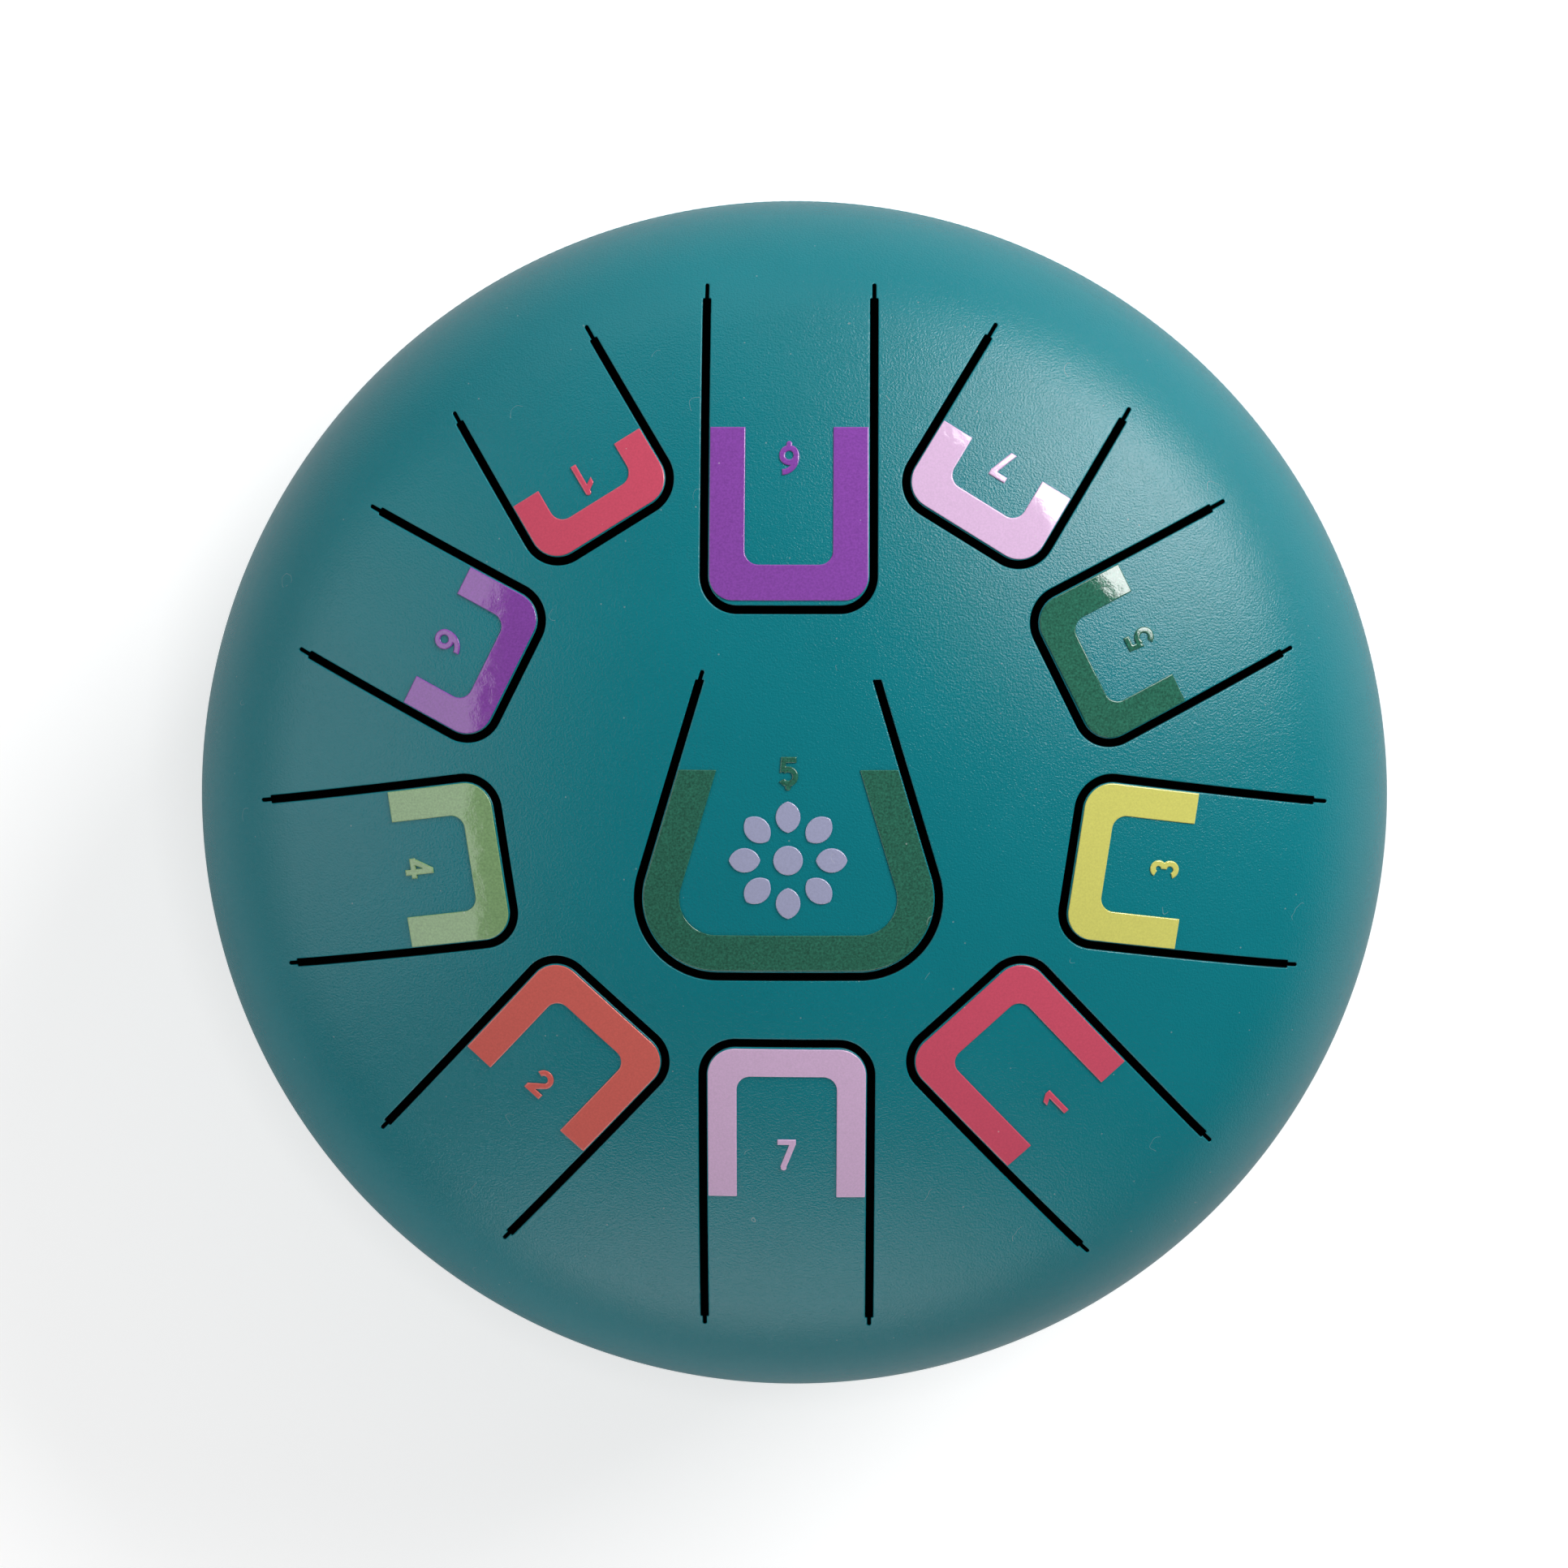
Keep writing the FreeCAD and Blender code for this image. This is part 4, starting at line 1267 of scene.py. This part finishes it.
GLOW_FROM = 60.0            # the floor's glow, painted light that only the camera sees, starts this far from the drum's middle, mm; nearer in it is left out, a painted shadow under the drum
GLOW_FULL = 150.0           # and is full from here
FLOOR_BOUNCE = 0.68         # share of the floor's colour that the drum sees; the camera sees it in full, as painted light
FLOOR_REACH = 1.2           # half the floor's side, in metres

# angles in degrees and lengths in metres. share is of the brightness that the setting names
Lamp = namedtuple("Lamp", "name azimuth elevation distance size setting share")
LAMPS = (
    Lamp("key_softbox", 42, 29.5, 1.5, (1.0, 0.82), "key", 1.0),
    Lamp("left_softbox", 178, 30, 2.0, (2.2, 1.5), "side", 1.0),
    Lamp("near_bank", 265, 20, 2.0, (2.2, 1.0), "bank", 2.1),
    Lamp("far_bank", 100, 20, 2.0, (2.2, 1.0), "bank", 0.8),
)
CAMERA_AT = (0.0185, 0.1082, 1.1866)
CAMERA_AIM = (-0.0017, 0.0046, 0.092)
CAMERA_LENS = 119.7


def hang_lamp(lamp, brightness):
    """A rectangular light that faces the drum, its brightness that of a white card in full light."""
    light = bpy.data.lights.new(lamp.name, "AREA")
    light.shape = "RECTANGLE"
    light.size, light.size_y = lamp.size
    light.energy = brightness * math.pi * light.size * light.size_y
    softbox = bpy.data.objects.new(lamp.name, light)
    a, e = math.radians(lamp.azimuth), math.radians(lamp.elevation)
    away = Vector((math.cos(e) * math.cos(a), math.cos(e) * math.sin(a), math.sin(e)))
    softbox.location = Vector((0.0, 0.0, RIM_Z * MM)) + away * lamp.distance
    softbox.rotation_euler = away.to_track_quat("Z", "Y").to_euler()
    softbox.visible_camera = False
    bpy.context.collection.objects.link(softbox)


def make_floor(stage):
    """A pale floor with a painted glow round the drum that only the camera sees, left out under the drum as
    a painted shadow, and painted lighter to the eye than to the drum.
    """
    material, shader, w = new_material("plain_floor")
    seen = w.node("ShaderNodeLightPath").outputs["Is Camera Ray"]
    # a lighter floor for the camera than for the drum: painted light
    w.feed(shader.inputs["Base Color"], mixed_colour(
        w, seen, shaded(stage.floor, FLOOR_BOUNCE), shaded(stage.floor, 1.0)))
    shader.inputs["Roughness"].default_value = 0.9
    shader.inputs["Specular IOR Level"].default_value = 0.1
    shader.inputs["Emission Color"].default_value = (1.0, 1.0, 1.0, 1.0)
    # painted shadow under the drum: no glow near its middle, full glow further out
    place = w.node("ShaderNodeTexCoord").outputs["Object"]
    clear = w.node("ShaderNodeMapRange", Value=w.vector("LENGTH", place),
                   From_Min=GLOW_FROM * MM, From_Max=GLOW_FULL * MM)
    glow = w.math("MULTIPLY", clear.outputs[0], stage.glow)
    w.feed(shader.inputs["Emission Strength"], w.math("MULTIPLY", seen, glow))
    mesh = bpy.data.meshes.new("floor")
    corners = [(x * FLOOR_REACH, y * FLOOR_REACH, 0) for x, y in ((-1, -1), (1, -1), (1, 1), (-1, 1))]
    mesh.from_pydata(corners, [], [range(4)])
    mesh.materials.append(material)
    floor = bpy.data.objects.new("floor", mesh)
    bpy.context.collection.objects.link(floor)


def make_camera():
    """Looks almost straight down on the drum, from a little beyond its middle."""
    camera = bpy.data.objects.new("camera", bpy.data.cameras.new("camera"))
    camera.data.lens = CAMERA_LENS
    camera.data.sensor_width = 36.0
    at, ahead = Vector(CAMERA_AT), (Vector(CAMERA_AIM) - Vector(CAMERA_AT)).normalized()
    right = ahead.cross(Vector((0, 1, 0))).normalized()
    up = right.cross(ahead)
    camera.matrix_world = Matrix.Translation(at) @ Matrix((right, up, -ahead)).transposed().to_4x4()
    bpy.context.collection.objects.link(camera)
    bpy.context.scene.camera = camera


def make_stage():
    scene = bpy.context.scene
    stage = scene.drum_stage
    scene.view_settings.view_transform = "Standard"
    make_floor(stage)
    make_camera()
    for lamp in LAMPS:
        hang_lamp(lamp, getattr(stage, lamp.setting) * lamp.share)
    world = scene.world or bpy.data.worlds.new("surround")
    scene.world = world
    world.use_nodes = True
    w = Wiring(world.node_tree)
    background = next(n for n in world.node_tree.nodes if n.type == "BACKGROUND")
    background.inputs["Color"].default_value = (1.0, 1.0, 1.0, 1.0)
    seen = w.node("ShaderNodeLightPath").outputs["Is Camera Ray"]
    lift = w.math("MULTIPLY_ADD", seen, stage.backdrop - stage.surround, stage.surround)
    w.feed(background.inputs["Strength"], lift)


# ======================================================================== operators and panel

class DRUM_OT_upper_shell(bpy.types.Operator):
    """Build the upper shell with its eleven slots"""

    bl_idname = "drum.upper_shell"
    bl_label = "Upper shell"

    def execute(self, context):
        make_top_shell()
        return {"FINISHED"}


class DRUM_OT_tongues(bpy.types.Operator):
    """Build the tongues, each running on from the shell's stub at its root"""

    bl_idname = "drum.tongues"
    bl_label = "Tongues"

    def execute(self, context):
        make_tongues()
        return {"FINISHED"}


class DRUM_OT_lower_shell(bpy.types.Operator):
    """Turn the lower shell with its sound hole"""

    bl_idname = "drum.lower_shell"
    bl_label = "Lower shell"

    def execute(self, context):
        make_bottom_shell()
        return {"FINISHED"}


class DRUM_OT_rim_weld(bpy.types.Operator):
    """Run the dressed weld round the rim"""

    bl_idname = "drum.rim_weld"
    bl_label = "Rim weld"

    def execute(self, context):
        make_rim_weld()
        return {"FINISHED"}


class DRUM_OT_marks(bpy.types.Operator):
    """Lay the U-shaped vinyl marks round the tongues' tips"""

    bl_idname = "drum.marks"
    bl_label = "Tongue marks"

    def execute(self, context):
        make_marks()
        return {"FINISHED"}


class DRUM_OT_numbers(bpy.types.Operator):
    """Lay the vinyl note numbers"""

    bl_idname = "drum.numbers"
    bl_label = "Note numbers"

    def execute(self, context):
        make_numbers()
        return {"FINISHED"}


class DRUM_OT_rosette(bpy.types.Operator):
    """Lay the rosette on the middle tongue"""

    bl_idname = "drum.rosette"
    bl_label = "Rosette"

    def execute(self, context):
        make_rosette()
        return {"FINISHED"}


class DRUM_OT_feet(bpy.types.Operator):
    """Mould the three rubber feet"""

    bl_idname = "drum.feet"
    bl_label = "Feet"

    def execute(self, context):
        make_feet()
        return {"FINISHED"}


class DRUM_OT_fasteners(bpy.types.Operator):
    """Plate the screws, washers and nuts"""

    bl_idname = "drum.fasteners"
    bl_label = "Fasteners"

    def execute(self, context):
        finish_fasteners()
        return {"FINISHED"}


class DRUM_OT_stage(bpy.types.Operator):
    """Set the floor, softboxes and camera"""

    bl_idname = "drum.stage"
    bl_label = "Stage"

    def execute(self, context):
        make_stage()
        return {"FINISHED"}


OPERATORS = (
    DRUM_OT_upper_shell, DRUM_OT_tongues, DRUM_OT_lower_shell, DRUM_OT_rim_weld, DRUM_OT_marks,
    DRUM_OT_numbers, DRUM_OT_rosette, DRUM_OT_feet, DRUM_OT_fasteners, DRUM_OT_stage,
)


class DRUM_PT_sidebar(bpy.types.Panel):
    """The drum's settings and the pieces that they build"""

    bl_idname = "DRUM_PT_sidebar"
    bl_label = "Steel Tongue Drum"
    bl_space_type = "VIEW_3D"
    bl_region_type = "UI"
    bl_category = "Drum"

    def draw(self, context):
        for group in (context.scene.drum_shape, context.scene.drum_finish, context.scene.drum_stage):
            box = self.layout.box()
            for name in group.__annotations__:
                box.prop(group, name)
        for operator_class in OPERATORS:
            self.layout.operator(operator_class.bl_idname)


CLASSES = (DrumShape, DrumFinish, DrumStage) + OPERATORS + (DRUM_PT_sidebar,)


def register():
    for each in CLASSES:
        bpy.utils.register_class(each)
    bpy.types.Scene.drum_shape = bpy.props.PointerProperty(type=DrumShape)
    bpy.types.Scene.drum_finish = bpy.props.PointerProperty(type=DrumFinish)
    bpy.types.Scene.drum_stage = bpy.props.PointerProperty(type=DrumStage)


def unregister():
    del bpy.types.Scene.drum_stage
    del bpy.types.Scene.drum_finish
    del bpy.types.Scene.drum_shape
    for each in reversed(CLASSES):
        bpy.utils.unregister_class(each)


def main():
    register()
    for each in OPERATORS:
        group, name = each.bl_idname.split(".")
        getattr(getattr(bpy.ops, group), name)()


if __name__ == "__main__":
    main()
